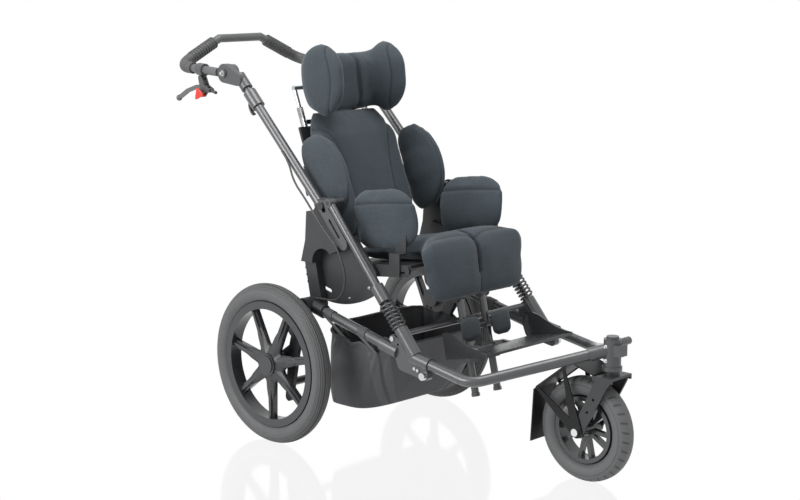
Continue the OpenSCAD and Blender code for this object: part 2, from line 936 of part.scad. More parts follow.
// Screws and toe knobs on the outer faces of the front joints
module frame_bolts() {
    face = side_x + cast_t / 2;
    toe = cast + [cast_toe_y, cast_toe_z];
    low = toe + [2 * screw_pitch, screw_pitch];
    color(silver) placed() for (s = [right, left]) sided(s) {
        pin(face, face + screw_t, cast + [cast_rear_y, cast_rear_z], screw_r);
        pin(face, face + screw_t, low, small_screw_r);
        pin(face, face + screw_t, low + [screw_pitch, screw_pitch / 4], small_screw_r);
        pin(face, face + toe_knob_t, toe, toe_knob_r);
    }
}

// Rear tyre with two tread grooves
module rear_tyre(s) {
    color(rubber) placed() sided(s) translate([half_track, 0, rear_wheel_r]) rotate([0, 90, 0])
        rotate_extrude() difference() {
            translate([rear_wheel_r - rear_tyre_w / 2, 0]) circle(rear_tyre_w / 2);
            translate([0, -rear_tyre_w]) square([tyre_seat + fit, 2 * rear_tyre_w]);
            for (x = [-groove_x, groove_x]) translate([rear_wheel_r - groove_d, x - groove_w / 2])
                square([2 * groove_d, groove_w]);
        }
}

// Rear wheel: rim, ribbed spokes, star web, hub and plain cap
module rear_rim(s) {
    spoke_to = (rim_open + tyre_seat) / 2;
    color(stone) placed() sided(s) translate([half_track, 0, rear_wheel_r]) rotate([0, 90, 0]) difference() {
        union() {
            rotate_extrude() translate([rim_open, -rim_w / 2]) square([tyre_seat - rim_open, rim_w]);
            translate([0, 0, -hub_in]) cylinder(h = hub_in + hub_out, r = rear_hub_r);
            translate([0, 0, hub_out]) cylinder(h = cap_t, r = cap_r);
            translate([0, 0, -spoke_t / 2]) linear_extrude(spoke_t) around(rear_spokes)
                polygon([[0, -spoke_root], [spoke_to, -spoke_tip], [spoke_to, spoke_tip], [0, spoke_root]]);
            translate([0, 0, -spoke_rib_t / 2]) linear_extrude(spoke_rib_t) around(rear_spokes)
                polygon([[0, -rib_root], [spoke_to, -rib_tip], [spoke_to, rib_tip], [0, rib_root]]);
            translate([0, 0, -star_t / 2]) linear_extrude(star_t) around(rear_spokes)
                polygon([[0, -star_w], [star_reach, 0], [0, star_w]]);
        }
        translate([0, 0, -hub_in - over])
            cylinder(h = hub_in + hub_out - cap_t + gap + over, r = stub_r + run);
    }
}

// Caster fork: crown plate, two legs and the swivel stem
module caster_fork() {
    leg_top = [stem_y, crown_z - crown_t];
    color(stone) placed() difference() {
        union() {
            translate([-leg_x - leg_t, stem_y - crown_half, crown_z])
                cube([2 * (leg_x + leg_t), 2 * crown_half, crown_t]);
            for (s = [right, left]) sided(s) slab(leg_x, leg_x + leg_t) intersection() {
                union() {
                    link(leg_top, leg_top_r, front_axle_at, leg_low_r);
                    translate([stem_y - crown_half, crown_z - crown_t]) square([2 * crown_half, 2 * crown_t]);
                }
                translate([stem_y - wheelbase, 0]) square([2 * wheelbase, crown_top]);
            }
            translate([0, stem_y, crown_top]) cylinder(h = race_h, r = race_r);
            translate([0, stem_y, crown_top]) cylinder(h = race_h + head_h - 2 * tube_stop, r = stem_r);
        }
        pin(-2 * leg_x, 2 * leg_x, front_axle_at, front_axle_r + fit);
        for (t = leg_hole_shares)
            pin(-2 * leg_x, 2 * leg_x, leg_top + (front_axle_at - leg_top) * t, leg_hole_r);
    }
}

// Mudguard sheet with its open side braces
module caster_guard() {
    r = guard_t / 2;
    a = [stem_y + guard_lip, crown_top + r];
    b = [-wheelbase + guard_top_y, crown_top + guard_rise];
    c = [-wheelbase + guard_back_y, front_wheel_r + guard_back_z];
    d = [-wheelbase + guard_low_y, front_wheel_r + guard_low_z];
    e = b + (c - b) * brace_shares[0];
    f = b + (c - b) * brace_shares[1];
    color(charcoal) placed() {
        slab(-guard_half, guard_half) {
            link(a, r, b, r);
            link(b, r, c, r);
            link(c, r, d, r);
        }
        for (s = [right, left]) sided(s) difference() {
            slab(brace_in, brace_in + brace_t) {
                link(front_axle_at, leg_low_r, e, leg_hole_r);
                link(front_axle_at, leg_low_r, f, leg_hole_r);
                link(e, leg_hole_r, f, leg_hole_r);
            }
            pin(brace_in - over, brace_in + brace_t + over, front_axle_at, front_axle_r + fit);
        }
    }
}

// Front tyre
module front_tyre() {
    r = (front_wheel_r - front_seat) / 2;
    h = front_tyre_w / 2 - r;
    color(rubber) placed() translate([0, -wheelbase, front_wheel_r]) rotate([0, 90, 0]) rotate_extrude()
        difference() {
            union() {
                for (x = [-h, h]) translate([front_wheel_r - r, x]) circle(r);
                translate([front_wheel_r - 2 * r, -h]) square([2 * r, 2 * h]);
            }
            translate([0, -front_tyre_w]) square([front_seat + fit, 2 * front_tyre_w]);
        }
}

// Front wheel with pairs of slim spokes
module front_rim() {
    mid = (front_open + front_seat) / 2;
    color(stone) placed() translate([0, -wheelbase, front_wheel_r]) rotate([0, 90, 0]) difference() {
        union() {
            rotate_extrude() translate([front_open, -front_rim_w / 2])
                square([front_seat - front_open, front_rim_w]);
            translate([0, 0, -front_hub_half]) cylinder(h = 2 * front_hub_half, r = front_hub_r);
            for (k = [0 : front_spokes - 1]) for (a = [-front_fan, front_fan])
                translate([0, 0, -front_spoke_t / 2]) linear_extrude(front_spoke_t)
                    link([0, 0], front_spoke_w, polar(mid, 360 * k / front_spokes + a), front_spoke_w);
        }
        translate([0, 0, -front_hub_half - over])
            cylinder(h = 2 * front_hub_half + 2 * over, r = front_axle_r + run);
    }
}

// Front axle bolt with a nut at each end
module front_axle() {
    x = brace_in + brace_t + fit;
    color(silver) placed() {
        pin(-x - nut_t, x + nut_t, front_axle_at, front_axle_r);
        pin(x, x + nut_t, front_axle_at, nut_r);
        pin(-x - nut_t, -x, front_axle_at, nut_r);
    }
}

// Pull knob that frees the caster stem
module caster_lock() {
    p = [stem_y + knob_y, head_top - knob_drop];
    color(stone) placed() {
        pin(knob_in, knob_boss + knob_len, p, knob_pin_r);
        pin(knob_boss + gap, knob_boss + knob_len, p, knob_r);
    }
}

// Moulded carrier with the fold pivot, the strut lug and an arched lower edge
carrier_shares = [[0, 0], [-0.31, 0], [-0.86, 0.27], [-1, 0.32], [-0.99, 0.54], [-0.80, 1], [-0.16, 1],
    [-0.12, 0.43]];
module carrier(s) {
    base = [carrier_base_y, carrier_base_z];
    outline = [for (q = carrier_shares) base + [q[0] * carrier_w, q[1] * carrier_h]];
    waist = base + [carrier_shares[5][0] * carrier_w / 2, carrier_h - ear_r];
    head = post_out + gap + slide_t + gap;
    color(stone) placed() sided(s) {
        difference() {
            union() {
                slab(post_in, post_out) difference() {
                    polygon(outline);
                    disc(base + [arch_y, arch_z], arch_r);
                }
                for (x = [post_in, post_out - ear_t]) slab(x, x + ear_t) link(fold, ear_r, waist, ear_r);
                slab(post_in, side_x - strut_r - gap) link(strut_top, lug_r, outline[5] - [0, lug_r], lug_r);
            }
            slab(post_in + ear_t, post_out - ear_t) disc(fold, tongue_r + plane_gap);
            pin(side_x - strut_r - gap, post_out + over, strut_top, eye_r + plane_gap);
        }
        pin(post_in, head + bolt_head_t, fold, fold_pin_r);
        pin(head, head + bolt_head_t, fold, bolt_head_r);
        pin(side_x - strut_r - gap - over, side_x + strut_r, strut_top, strut_pin_r);
    }
}

// Post from the carrier down to the rear joint
module post(s) {
    top = [post_top_y, carrier_base_z];
    color(charcoal) placed() sided(s) difference() {
        slab(post_in, post_in + post_eye_w) intersection() {
            union() {
                link(top, post_half, rear_joint, rear_block_r);
                for (k = [1 : 3]) disc(top + (rear_joint - top) * k / 6 + [post_half, 0], post_rib);
            }
            translate([top[0] - carrier_h, 0]) square([2 * carrier_h, carrier_base_z]);
        }
        pin(post_in - over, post_in + post_eye_w + over, rear_joint, rear_pin_r + run);
    }
}

// Sector plate with the seat's tilt pivot and a guide rail along the strut
module tilt_plate(s) {
    c = fold + [plate_y, 0];
    far = 2 * plate_r;
    side = [-strut_dir[1], strut_dir[0]];
    a = on_strut(rail_from) + side * rail_off;
    b = on_strut(rail_to) + side * rail_off;
    color(charcoal) placed() sided(s) {
        slab(plate_in, post_in) difference() {
            union() {
                intersection() {
                    disc(c, plate_r);
                    polygon([c, c - polar(far, plate_from), c - polar(far, plate_to)]);
                }
                link(a, rail_w, b, rail_w);
            }
            disc(c, plate_hole_r);
            link(c + [plate_slot_y, plate_slot_z], plate_slot_r,
                c + [plate_slot_y + plate_slot, plate_slot_z + plate_slot / 4], plate_slot_r);
        }
        pin(plate_in - boss_t, plate_in, tilt, tilt_boss_r);
        pin(arm_in - plane_gap, plate_in, tilt, tilt_pin_r);
    }
}

// Strut tube with its eye, spring collar and rod
module strut(s) {
    top = collar_end - collar_len;
    color(graphite) placed() sided(s) difference() {
        union() {
            pin(side_x - strut_r, side_x + strut_r, strut_top, eye_r);
            rod(at_x(side_x, strut_top), at_x(side_x, on_strut(top + over)), strut_r);
            rod(at_x(side_x, on_strut(top)), at_x(side_x, on_strut(collar_end)), collar_r);
            rod(at_x(side_x, on_strut(collar_end - over)), at_x(side_x, on_strut(strut_len + rod_in)), rod_r);
        }
        pin(side_x - strut_d, side_x + strut_d, strut_top, strut_pin_r + run);
    }
}

// Coil spring: one unbroken helix whose ends run straight along the strut
spring_steps = 8 * spring_turns;
spring_path = [for (i = [-1 : spring_steps + 1])
    let (k = min(max(i, 0), spring_steps), a = 360 * k / 8,
        z = spring_wire_d * (i < 0 ? 0 : 1) + spring_pitch * k / 8 + (i > spring_steps ? spring_wire_d : 0))
    [spring_r * cos(a), spring_r * sin(a), z]];
spring_out = [for (i = [-1 : spring_steps + 1])
    let (a = 360 * min(max(i, 0), spring_steps) / 8) [cos(a), sin(a), 0]];
spring_gap = min([for (i = [0 : len(spring_path) - 1]) for (j = [i + 5 : 1 : len(spring_path) - 1])
    norm(spring_path[i] - spring_path[j])]) - spring_wire_d;
echo(spring_gap = spring_gap);
module spring(s) {
    p = at_x(side_x, on_strut(collar_end + gap / 2));
    color(silver) placed() sided(s) translate(p)
        rotate([0, acos(strut_dir[1]), atan2(strut_dir[0], 0)])
        sweep(spring_path, spring_out, spring_wire_d / 2, 6);
}

// Sliding fold lock outside the carrier
module lock_slider(s) {
    d = polar(1, slide_angle);
    x = post_out + gap;
    color(stone) placed() sided(s) slab(x, x + slide_t) difference() {
        link(fold, slide_r, fold + d * slide_len, slide_r);
        link(fold, fold_pin_r + gap, fold + d * (slide_travel + gap), fold_pin_r + gap);
        link(fold + d * slit_from, slit_r, fold + d * slit_to, slit_r);
    }
}

// Outer push tube with its fold tongue and clamp collar
module push_tube(s) {
    color(graphite) placed() sided(s) difference() {
        union() {
            slab(push_x - tongue_half, push_x + tongue_half) link(fold, tongue_r, push_root, push_r);
            rod(at_x(push_x, push_root), at_x(push_x, on_push(push_len)), push_r);
            rod(at_x(push_x, on_push(push_len - grip_collar_len)), at_x(push_x, on_push(push_len)),
                grip_collar_r);
        }
        rod(at_x(push_x, on_push(tongue_back)), at_x(push_x, on_push(push_len + over)), inner_r + run);
        pin(push_x - post_t, push_x + post_t, fold, fold_pin_r + run);
    }
}

// Inner push tube with the outer half of the angle joint
module inner_tube(s) {
    color(charcoal) placed() sided(s) difference() {
        union() {
            rod(at_x(push_x, on_push(inner_from)), at_x(push_x, on_push(inner_to)), inner_r);
            rod(at_x(push_x, on_push(boss_from)), at_x(push_x, on_push(boss_to)), boss_r);
            slab(push_x + gap, push_x + disc_half) link(on_push(inner_to), boss_r, angle_joint, disc_r);
        }
        rod(at_x(push_x, on_push(inner_from - over)), at_x(push_x, on_push(boss_from)), inner_r - inner_wall);
        pin(push_x + button_in - fit, push_x + disc_half + over, angle_joint, button_r + run);
    }
}

// Handle: inner halves of both angle joints, the arms and the raised crossbar
module handle_bar() {
    color(charcoal) placed() for (s = [right, left]) sided(s) {
        bent(handle_path, [0, arm_bend_r, 0], handle_r);
        translate(handle_path[2]) sphere(handle_r + weld);
        rod(handle_path[2], [0, bar_end_y, bar_end_z], handle_r);
        slab(push_x - disc_half, push_x)
            link(angle_joint, handle_disc_r, arm_start + [handle_r, 0], tongue_tip_r);
    }
}

// Ribbed grips over both bends of the handle
module grips() {
    path = [grip_from, handle_path[1], grip_end];
    color(rubber) placed() for (s = [right, left]) sided(s) difference() {
        union() {
            bent(path, [0, arm_bend_r, 0], grip_r);
            for (k = [0 : grip_ribs - 1]) {
                p = handle_path[1] + grip_dir * (rib_first + rib_step * k);
                rod(p, p + grip_dir * rib_w, grip_r + rib_h);
            }
            rod(grip_end - grip_dir * rib_w, grip_end, grip_r + rib_h);
        }
        bent([grip_from - [0, over, 0], handle_path[1], grip_end + grip_dir * over], [0, arm_bend_r, 0],
            handle_r + fit);
    }
}

// Push button at the middle of an angle joint
module angle_button(s) {
    color(stone) placed() sided(s) pin(push_x + 2 * button_in, push_x + button_out, angle_joint, button_r);
}

// Brake clamp, cheeks, pins and cable barrel on the right arm
module brake_mount() {
    t = (clamp_at - arm_start[0]) / (arm_end_y - arm_start[0]);
    z = arm_start[1] + (arm_end_z - arm_start[1]) * t;
    d = unit(handle_path[1] - handle_path[0]);
    p = [push_x, clamp_at, z];
    neck = [clamp_at, z - neck_drop];
    tab = lever_pivot + [tab_y, tab_z];
    web = lever_pivot + [barrel_y, barrel_z];
    color(charcoal) placed() sided(right) difference() {
        union() {
            rod(p - d * clamp_len / 2, p + d * clamp_len / 2, clamp_r);
            for (x = [-cheek_in - cheek_t, cheek_in]) slab(push_x + x, push_x + x + cheek_t) {
                link(neck, neck_r, lever_pivot, cheek_r);
                link(lever_pivot, cheek_r, tab, tab_r);
                link(lever_pivot, cheek_r, web, tab_r);
            }
            slab(push_x - cheek_in - cheek_t, push_x + cheek_in + cheek_t) disc(web, tab_r);
            slab(push_x - cheek_in - cheek_t, push_x + cheek_in + cheek_t) disc(neck, neck_r);
            pin(push_x - cheek_in - cheek_t, push_x + cheek_in + cheek_t, lever_pivot, lever_pin_r);
            pin(push_x - cheek_in - cheek_t, push_x + cheek_in + cheek_t, tab, tab_pin_r);
            rod(at_x(push_x, web), at_x(push_x, web - [barrel_len, -barrel_z]), barrel_r);
        }
        rod(p - d * clamp_len, p + d * clamp_len, handle_r + fit);
    }
}

// Brake lever with a ball end
module brake_lever() {
    a = lever_pivot + [lever_run, lever_rise];
    b = lever_pivot + [lever_mid, lever_mid_z];
    c = lever_pivot + [lever_tip, lever_tip_z];
    color(charcoal) placed() sided(right) difference() {
        union() {
            slab(push_x - lever_half, push_x + lever_half) {
                link(lever_pivot, lever_root_r, a, lever_w);
                link(a, lever_w, b, lever_w);
                link(b, lever_w, c, lever_w);
            }
            translate(at_x(push_x, c)) sphere(ball_r);
        }
        pin(push_x - 2 * lever_half, push_x + 2 * lever_half, lever_pivot, lever_pin_r + run);
    }
}

// Tab that holds the brake on
module brake_lock() {
    p = lever_pivot + [tab_y, tab_z];
    color(red) placed() sided(right) slab(push_x - lever_half, push_x + lever_half) difference() {
        link(p, tab_r, p + [tab_len, -tab_drop], tab_tip_r);
        disc(p, tab_pin_r + run);
    }
}

// Brake cable: a run on the push tube and a run on the upper frame
module brake_cable_top() {
    color(rubber) placed() sweep(cable_top, [for (p = cable_top) [1, 0, 0]], cable_r, cable_sides);
}
module brake_cable_low() {
    color(rubber) placed() sweep(cable_low, [for (p = cable_low) [1, 0, 0]], cable_r, cable_sides);
}

// Seat base: panel, pivot arms, recline lugs and knee lugs
module seat_base() {
    rear = [base_y, base_z];
    f = [-cos(seat_rake), sin(seat_rake)];
    u = [sin(seat_rake), cos(seat_rake)];
    mid = [arm_mid_y, arm_mid_z];
    front = [arm_front_y, arm_front_z];
    color(charcoal) placed() difference() {
        union() {
            slab(-arm_in - plane_gap, arm_in + plane_gap)
                polygon([rear - u * base_t / 2, rear + u * base_t / 2,
                    rear + f * base_len + u * base_t / 2, rear + f * base_len - u * base_t / 2]);
            for (s = [right, left]) sided(s) {
                slab(arm_in, arm_out) {
                    link(tilt, arm_root_r, mid, arm_mid_r);
                    link(mid, arm_mid_r, front, arm_front_r);
                }
                slab(recline_lug_x, recline_lug_x + recline_lug_t)
                    link(recline, recline_r, rear + f * recline_r, recline_r);
                pin(eye_in, recline_lug_x + over, recline, recline_pin_r);
                slab(knee_lug_x, knee_lug_x + knee_lug_t)
                    link(knee, knee_r, [knee_root_y, knee_root_z], knee_r);
                pin(knee_eye_in, knee_lug_x + over, knee, knee_pin_r);
            }
        }
        for (s = [right, left]) sided(s) {
            pin(arm_in - over, arm_out + over, tilt, tilt_pin_r + run);
            slab(arm_in - over, arm_out + over)
                link(hip_rod - f * hip_rod_half, hip_rod_r + run + bite,
                    hip_rod + f * (hip_rod_half + hip_travel), hip_rod_r + run + bite);
        }
    }
}

// Seat cushion: flat run, rounded front and hanging front flap
function seat_heading(s) = seat_rake - min(max((s - seat_run) / seat_bend_r * 180 / PI, 0), seat_turn);
function seat_line(s) =
    let (h = [-cos(seat_rake), sin(seat_rake)], n = [sin(seat_rake), cos(seat_rake)],
        c = [seat_rear_y, seat_rear_z] + h * seat_run - n * seat_bend_r, a = seat_heading(s))
    s <= seat_run ? [seat_rear_y, seat_rear_z] + h * s
        : c + [sin(a), cos(a)] * seat_bend_r
            + [-cos(a), sin(a)] * max(0, s - seat_run - seat_bend_r * seat_turn * PI / 180);
function seat_point(x, y, side) =
    let (p = pad_at(x, y, side, seat_path_len / 2, seat_w / 2, 1, 1, seat_corner_share, seat_draw_share),
        s = p[0] + seat_path_len / 2,
        t = min(max((s - seat_run * flap_start_share) / (2 * seat_bend_r), 0), 1),
        k = t * t * (3 - 2 * t), a = seat_heading(s), q = seat_line(s),
        e = min(max((s - seat_run * flap_start_share) / flap_spread, 0), 1), wide = e * e * (3 - 2 * e),
        seam = 1 - seam_share * exp(-pow(p[1] / seam_w, 2)) * (side > 0 ? k : 0),
        g = min(max((s - seat_run / 2) / (seat_run / 2), 0), 1),
        crown = seat_t / 2 + front_rise * g * g * (3 - 2 * g),
        thick = side > 0 ? crown + (flap_t - flap_in - crown) * k : seat_t / 2 + (flap_in - seat_t / 2) * k,
        w = p[1] * (1 + (flap_w / seat_w - 1) * wide), h = p[2] * thick * seam)
    [w, q[0] + sin(a) * h, q[1] + cos(a) * h];
module seat_cushion() {
    color(slate) placed() pad(30, 12, function (x, y, side) seat_point(x, y, side));
}

// Hip pad with its bar and the two rods that slide in a slot of the seat base
module hip_pad(s) {
    f = [0, -cos(seat_rake), sin(seat_rake)];
    g = [f[1], f[2]];
    u = [0, sin(seat_rake), cos(seat_rake)];
    c = [hip_in + hip_t / 2, hip_y, hip_z];
    bar = arm_out + gap / 2;
    face = hip_in + hip_t + gap / 2;
    color(slate) placed() sided(s) {
        pad(10, 12, function (x, y, side)
            let (p = pad_at(x, y, side, hip_half_h, hip_half_len, hip_t / 2, hip_t / 2,
                hip_corner_share, pad_draw_share)) c + u * p[0] + f * p[1] + [1, 0, 0] * p[2]);
        translate([0, hip_bar_y - hip_bar_w / 2, 0]) {
            translate([bar, 0, hip_bar_low]) cube([hip_bar_t, hip_bar_w, hip_step_z + hip_bar_t - hip_bar_low]);
            translate([face, 0, hip_step_z]) cube([bar + hip_bar_t - face, hip_bar_w, hip_bar_t]);
            translate([face, 0, hip_step_z]) cube([hip_bar_t, hip_bar_w, hip_bar_top - hip_step_z]);
        }
        for (k = [-hip_rod_half, hip_rod_half])
            pin(bar - hip_rod_len, bar + hip_bar_t, hip_rod + g * k, hip_rod_r);
    }
}

// Back frame: two uprights, braces, panel and the flanges that carry the side pads
module back_frame() {
    color(charcoal) placed() difference() {
        union() {
            for (s = [right, left]) sided(s) {
                rod(at_x(upright_x, recline), at_x(upright_x, on_back(upright_len, 0)), upright_r);
                pin(eye_in, recline_lug_x - gap, recline, recline_r);
                slab(panel_half - flange_t, panel_half)
                    polygon([on_back(flange_from, -flange_back), on_back(flange_from, panel_far),
                        on_back(flange_to, panel_far), on_back(flange_to, -flange_back)]);
            }
            for (b = [brace_low, brace_high]) pin(-upright_x, upright_x, on_back(b, 0), brace_r);
            slab(-panel_half, panel_half)
                polygon([on_back(panel_from, panel_near), on_back(panel_from, panel_far),
                    on_back(panel_to, panel_far), on_back(panel_to, panel_near)]);
        }
        for (s = [right, left]) sided(s) {
            pin(eye_in - over, recline_lug_x + over, recline, recline_pin_r + run);
            rod(at_x(upright_x, on_back(upright_len - post_depth, 0)),
                at_x(upright_x, on_back(upright_len + over, 0)), post_r + run);
            slab(panel_half - flange_t - over, panel_half + over)
                link(on_back(pad_mid - pad_rod_half, -over), pad_rod_r + run + bite,
                    on_back(pad_mid + pad_rod_half + pad_travel, -over), pad_rod_r + run + bite);
        }
    }
}

// Back cushion with two upright channels
module back_cushion() {
    c = on_back(back_from + back_len / 2, back_near + back_t / 2);
    color(slate) placed() pad(22, 16, function (x, y, side)
        let (p = pad_at(x, y, side, back_w / 2, back_len / 2, back_t / 2, back_t / 2,
                back_corner_share, back_draw_share),
            dip = back_channel_share * exp(-pow((abs(p[0]) - back_channel) / back_channel_w, 2)),
            h = p[2] * (side > 0 ? 1 - dip : 1), q = c + back_up * p[1] + back_out * h) [p[0], q[0], q[1]]);
}

// Side pad with its bar and the two rods that slide up in a slot of the back frame
module side_pad(s) {
    mid = (pad_near + pad_far) / 2;
    half = (pad_far - pad_near) / 2;
    bar = pad_bar_in;
    color(slate) placed() sided(s) {
        pad(12, 10, function (x, y, side)
            let (p = pad_at(x, y, side, pad_half_h, half, pad_t / 2, pad_t / 2,
                    pad_corner_share, pad_draw_share),
                bow = 1 - pad_bow_share * pow(abs(x), 2) * (1 + y) / 2,
                q = on_back(pad_mid + p[0], mid + (p[1] + half) * bow - half))
            [pad_in + pad_t / 2 + p[2], q[0], q[1]]);
        slab(bar, bar + pad_bar_t) polygon([on_back(pad_mid - pad_bar_half, pad_bar_from),
            on_back(pad_mid + pad_bar_half, pad_bar_from), on_back(pad_mid + pad_bar_half, pad_bar_to),
            on_back(pad_mid - pad_bar_half, pad_bar_to)]);
        for (k = [-pad_rod_half, pad_rod_half])
            pin(pad_rod_to, bar + pad_bar_t, on_back(pad_mid + k, -over), pad_rod_r);
    }
}

// Headrest bent forwards into two wings, on a yoke whose posts slide in the uprights
function head_line(s) =
    let (d = abs(s) - head_flat / 2, a = min(max(d / head_bend_r * 180 / PI, 0), 90),
        x = min(abs(s), head_flat / 2) + head_bend_r * sin(a),
        o = head_bend_r * (1 - cos(a)) + max(0, d - head_arc))
    [sign(s) * x, o, sign(s) * a];
function ear_share(x) =
    let (t = min(max((x - ear_from_share) / ear_grow_share, 0), 1), grown = t * t * (3 - 2 * t),
        e = max(0, (x - ear_from_share) / (1 - ear_from_share)))
    (head_mid_share + (1 - head_mid_share) * grown) * sqrt(1 - ear_end_share * pow(e, 3));
function head_point(x, y, side) =
    let (p = pad_at(x, y, side, head_path_len / 2, headrest_h / 2, head_t / 2, head_t / 2,
            back_corner_share, back_draw_share),
        q = head_line(p[0]), o = q[1] + cos(q[2]) * p[2],
        seam = [head_y, head_z] + head_up * p[1] * ear_share(abs(x)) + head_out * o)
    [q[0] - sin(q[2]) * p[2], seam[0], seam[1]];
module headrest() {
    yoke = on_back(yoke_s, 0);
    color(slate) placed() {
        pad(36, 10, function (x, y, side) head_point(x, y, side));
        pin(-upright_x - post_r, upright_x + post_r, yoke, yoke_r);
        for (s = [right, left]) sided(s)
            rod(at_x(upright_x, on_back(upright_len - post_depth + yoke_r, 0)), at_x(upright_x, yoke),
                post_r);
    }
}

// Leg tubes with knee eyes, a tie and blocks for the calf pads
module leg_tubes() {
    color(graphite) placed() difference() {
        union() {
            for (s = [right, left]) sided(s) {
                rod(at_x(leg_x_at, knee), at_x(leg_x_at, on_leg(leg_len, 0)), leg_r);
                rod(at_x(leg_x_at, on_leg(leg_len - leg_cap_len, 0)), at_x(leg_x_at, on_leg(leg_len, 0)),
                    leg_cap_r);
                pin(knee_eye_in, knee_lug_x - gap, knee, knee_eye_r);
                rod(at_x(leg_x_at, on_leg(leg_tie_s, 0)), at_x(leg_x_at, on_leg(leg_tie_s, calf_near)),
                    calf_block_half);
            }
            pin(-leg_x_at, leg_x_at, on_leg(leg_tie_s, 0), leg_tie_r);
        }
        for (s = [right, left]) sided(s) pin(knee_eye_in - over, knee_lug_x + over, knee, knee_pin_r + run);
    }
}

// Calf pads
module calf_pads() {
    c = on_leg(leg_tie_s, calf_near + gap / 2 + calf_t / 2);
    color(slate) placed() for (s = [right, left]) sided(s)
        pad(6, 6, function (x, y, side)
            let (p = pad_at(x, y, side, calf_half_w, calf_half_h, calf_t / 2, calf_t / 2,
                    calf_corner_share, pad_draw_share), q = c - leg_down * p[1] + leg_out * p[2])
            [calf_x + p[0], q[0], q[1]]);
}

// Carriage that slides on the leg tubes and carries the footplate hinge
module foot_carriage() {
    hinge = on_leg(foot_hinge_s, foot_hinge_o);
    color(graphite) placed() difference() {
        union() {
            for (s = [right, left]) sided(s) slab(leg_x_at - slide_half, leg_x_at + slide_half) {
                polygon([on_leg(slide_from, -slide_half), on_leg(slide_from, slide_half),
                    on_leg(slide_to, slide_half), on_leg(slide_to, -slide_half)]);
                link(hinge, foot_eye_r, on_leg(foot_hinge_s, 0), foot_eye_r);
            }
            pin(-leg_x_at, leg_x_at, on_leg((slide_from + slide_to) / 2, 0), tie_bar_r);
            pin(-foot_pin_half, foot_pin_half, hinge, foot_pin_r);
        }
        for (s = [right, left]) sided(s)
            rod(at_x(leg_x_at, on_leg(slide_from - leg_len, 0)), at_x(leg_x_at, on_leg(2 * leg_len, 0)),
                leg_r + run);
    }
}

// Footplate with side walls that fall away to the toes
wall_shares = [[0, 0], [1, 0], [1, 0.12], [0.82, 0.22], [0.62, 0.40], [0.42, 0.66], [0.25, 0.90], [0.12, 1],
    [0, 1]];
module footplate() {
    hinge = on_leg(foot_hinge_s, foot_hinge_o);
    f = [-cos(foot_rake), sin(foot_rake)];
    u = [sin(foot_rake), cos(foot_rake)];
    a = hinge + f * foot_from - u * foot_t / 2;
    run_len = foot_len - foot_from;
    color(charcoal) placed() difference() {
        union() {
            slab(-foot_w / 2, foot_w / 2)
                polygon([a, a + f * run_len, a + f * run_len + u * foot_t, a + u * foot_t]);
            for (s = [right, left]) sided(s) {
                slab(foot_w / 2 - wall_t, foot_w / 2)
                    polygon([for (q = wall_shares) a + f * run_len * q[0] + u * wall_h * q[1]]);
                slab(foot_lug_x, foot_lug_x + foot_lug_t)
                    link(hinge, foot_eye_r, hinge + f * 2 * foot_from, foot_t / 2);
            }
        }
        pin(-foot_w, foot_w, hinge, foot_pin_r + run);
    }
}

side_tube(right);  // side_tube_right
side_tube(left);  // side_tube_left
front_joint(right);  // front_joint_right
front_joint(left);  // front_joint_left
rear_joint_part(right);  // rear_joint_right
rear_joint_part(left);  // rear_joint_left
front_frame();
head_block();
cross_bar();
axle_tube();
basket();
frame_bolts();
rear_tyre(right);  // rear_tyre_right
rear_tyre(left);  // rear_tyre_left
rear_rim(right);  // rear_rim_right
rear_rim(left);  // rear_rim_left
caster_fork();
caster_guard();
front_tyre();
front_rim();
front_axle();
caster_lock();
carrier(right);  // carrier_right
carrier(left);  // carrier_left
post(right);  // post_right
post(left);  // post_left
tilt_plate(right);  // tilt_plate_right
tilt_plate(left);  // tilt_plate_left
strut(right);  // strut_right
strut(left);  // strut_left
spring(right);  // spring_right
spring(left);  // spring_left
lock_slider(right);  // lock_slider_right
lock_slider(left);  // lock_slider_left
push_tube(right);  // push_tube_right
push_tube(left);  // push_tube_left
inner_tube(right);  // inner_tube_right
inner_tube(left);  // inner_tube_left
handle_bar();
grips();
angle_button(right);  // angle_button_right
angle_button(left);  // angle_button_left
brake_mount();
brake_lever();
brake_lock();
brake_cable_top();
brake_cable_low();
seat_base();
seat_cushion();
hip_pad(right);  // hip_pad_right
hip_pad(left);  // hip_pad_left
back_frame();
back_cushion();
side_pad(right);  // side_pad_right
side_pad(left);  // side_pad_left
headrest();
leg_tubes();
calf_pads();
foot_carriage();
footplate();
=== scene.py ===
# %% [markdown]
# # Special needs buggy
# This lesson dresses the CAD model of a three-wheeled push buggy. The CAD solids give every place and every
# joint. Blender adds the paint, the moulded plastic, the tyres, the sewn pads and the cloth basket.

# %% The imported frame
import json
from math import atan2, copysign, cos, exp, hypot, pi, radians, sin, tau

import bmesh
import bpy
import numpy as np
from mathutils import Matrix, Vector


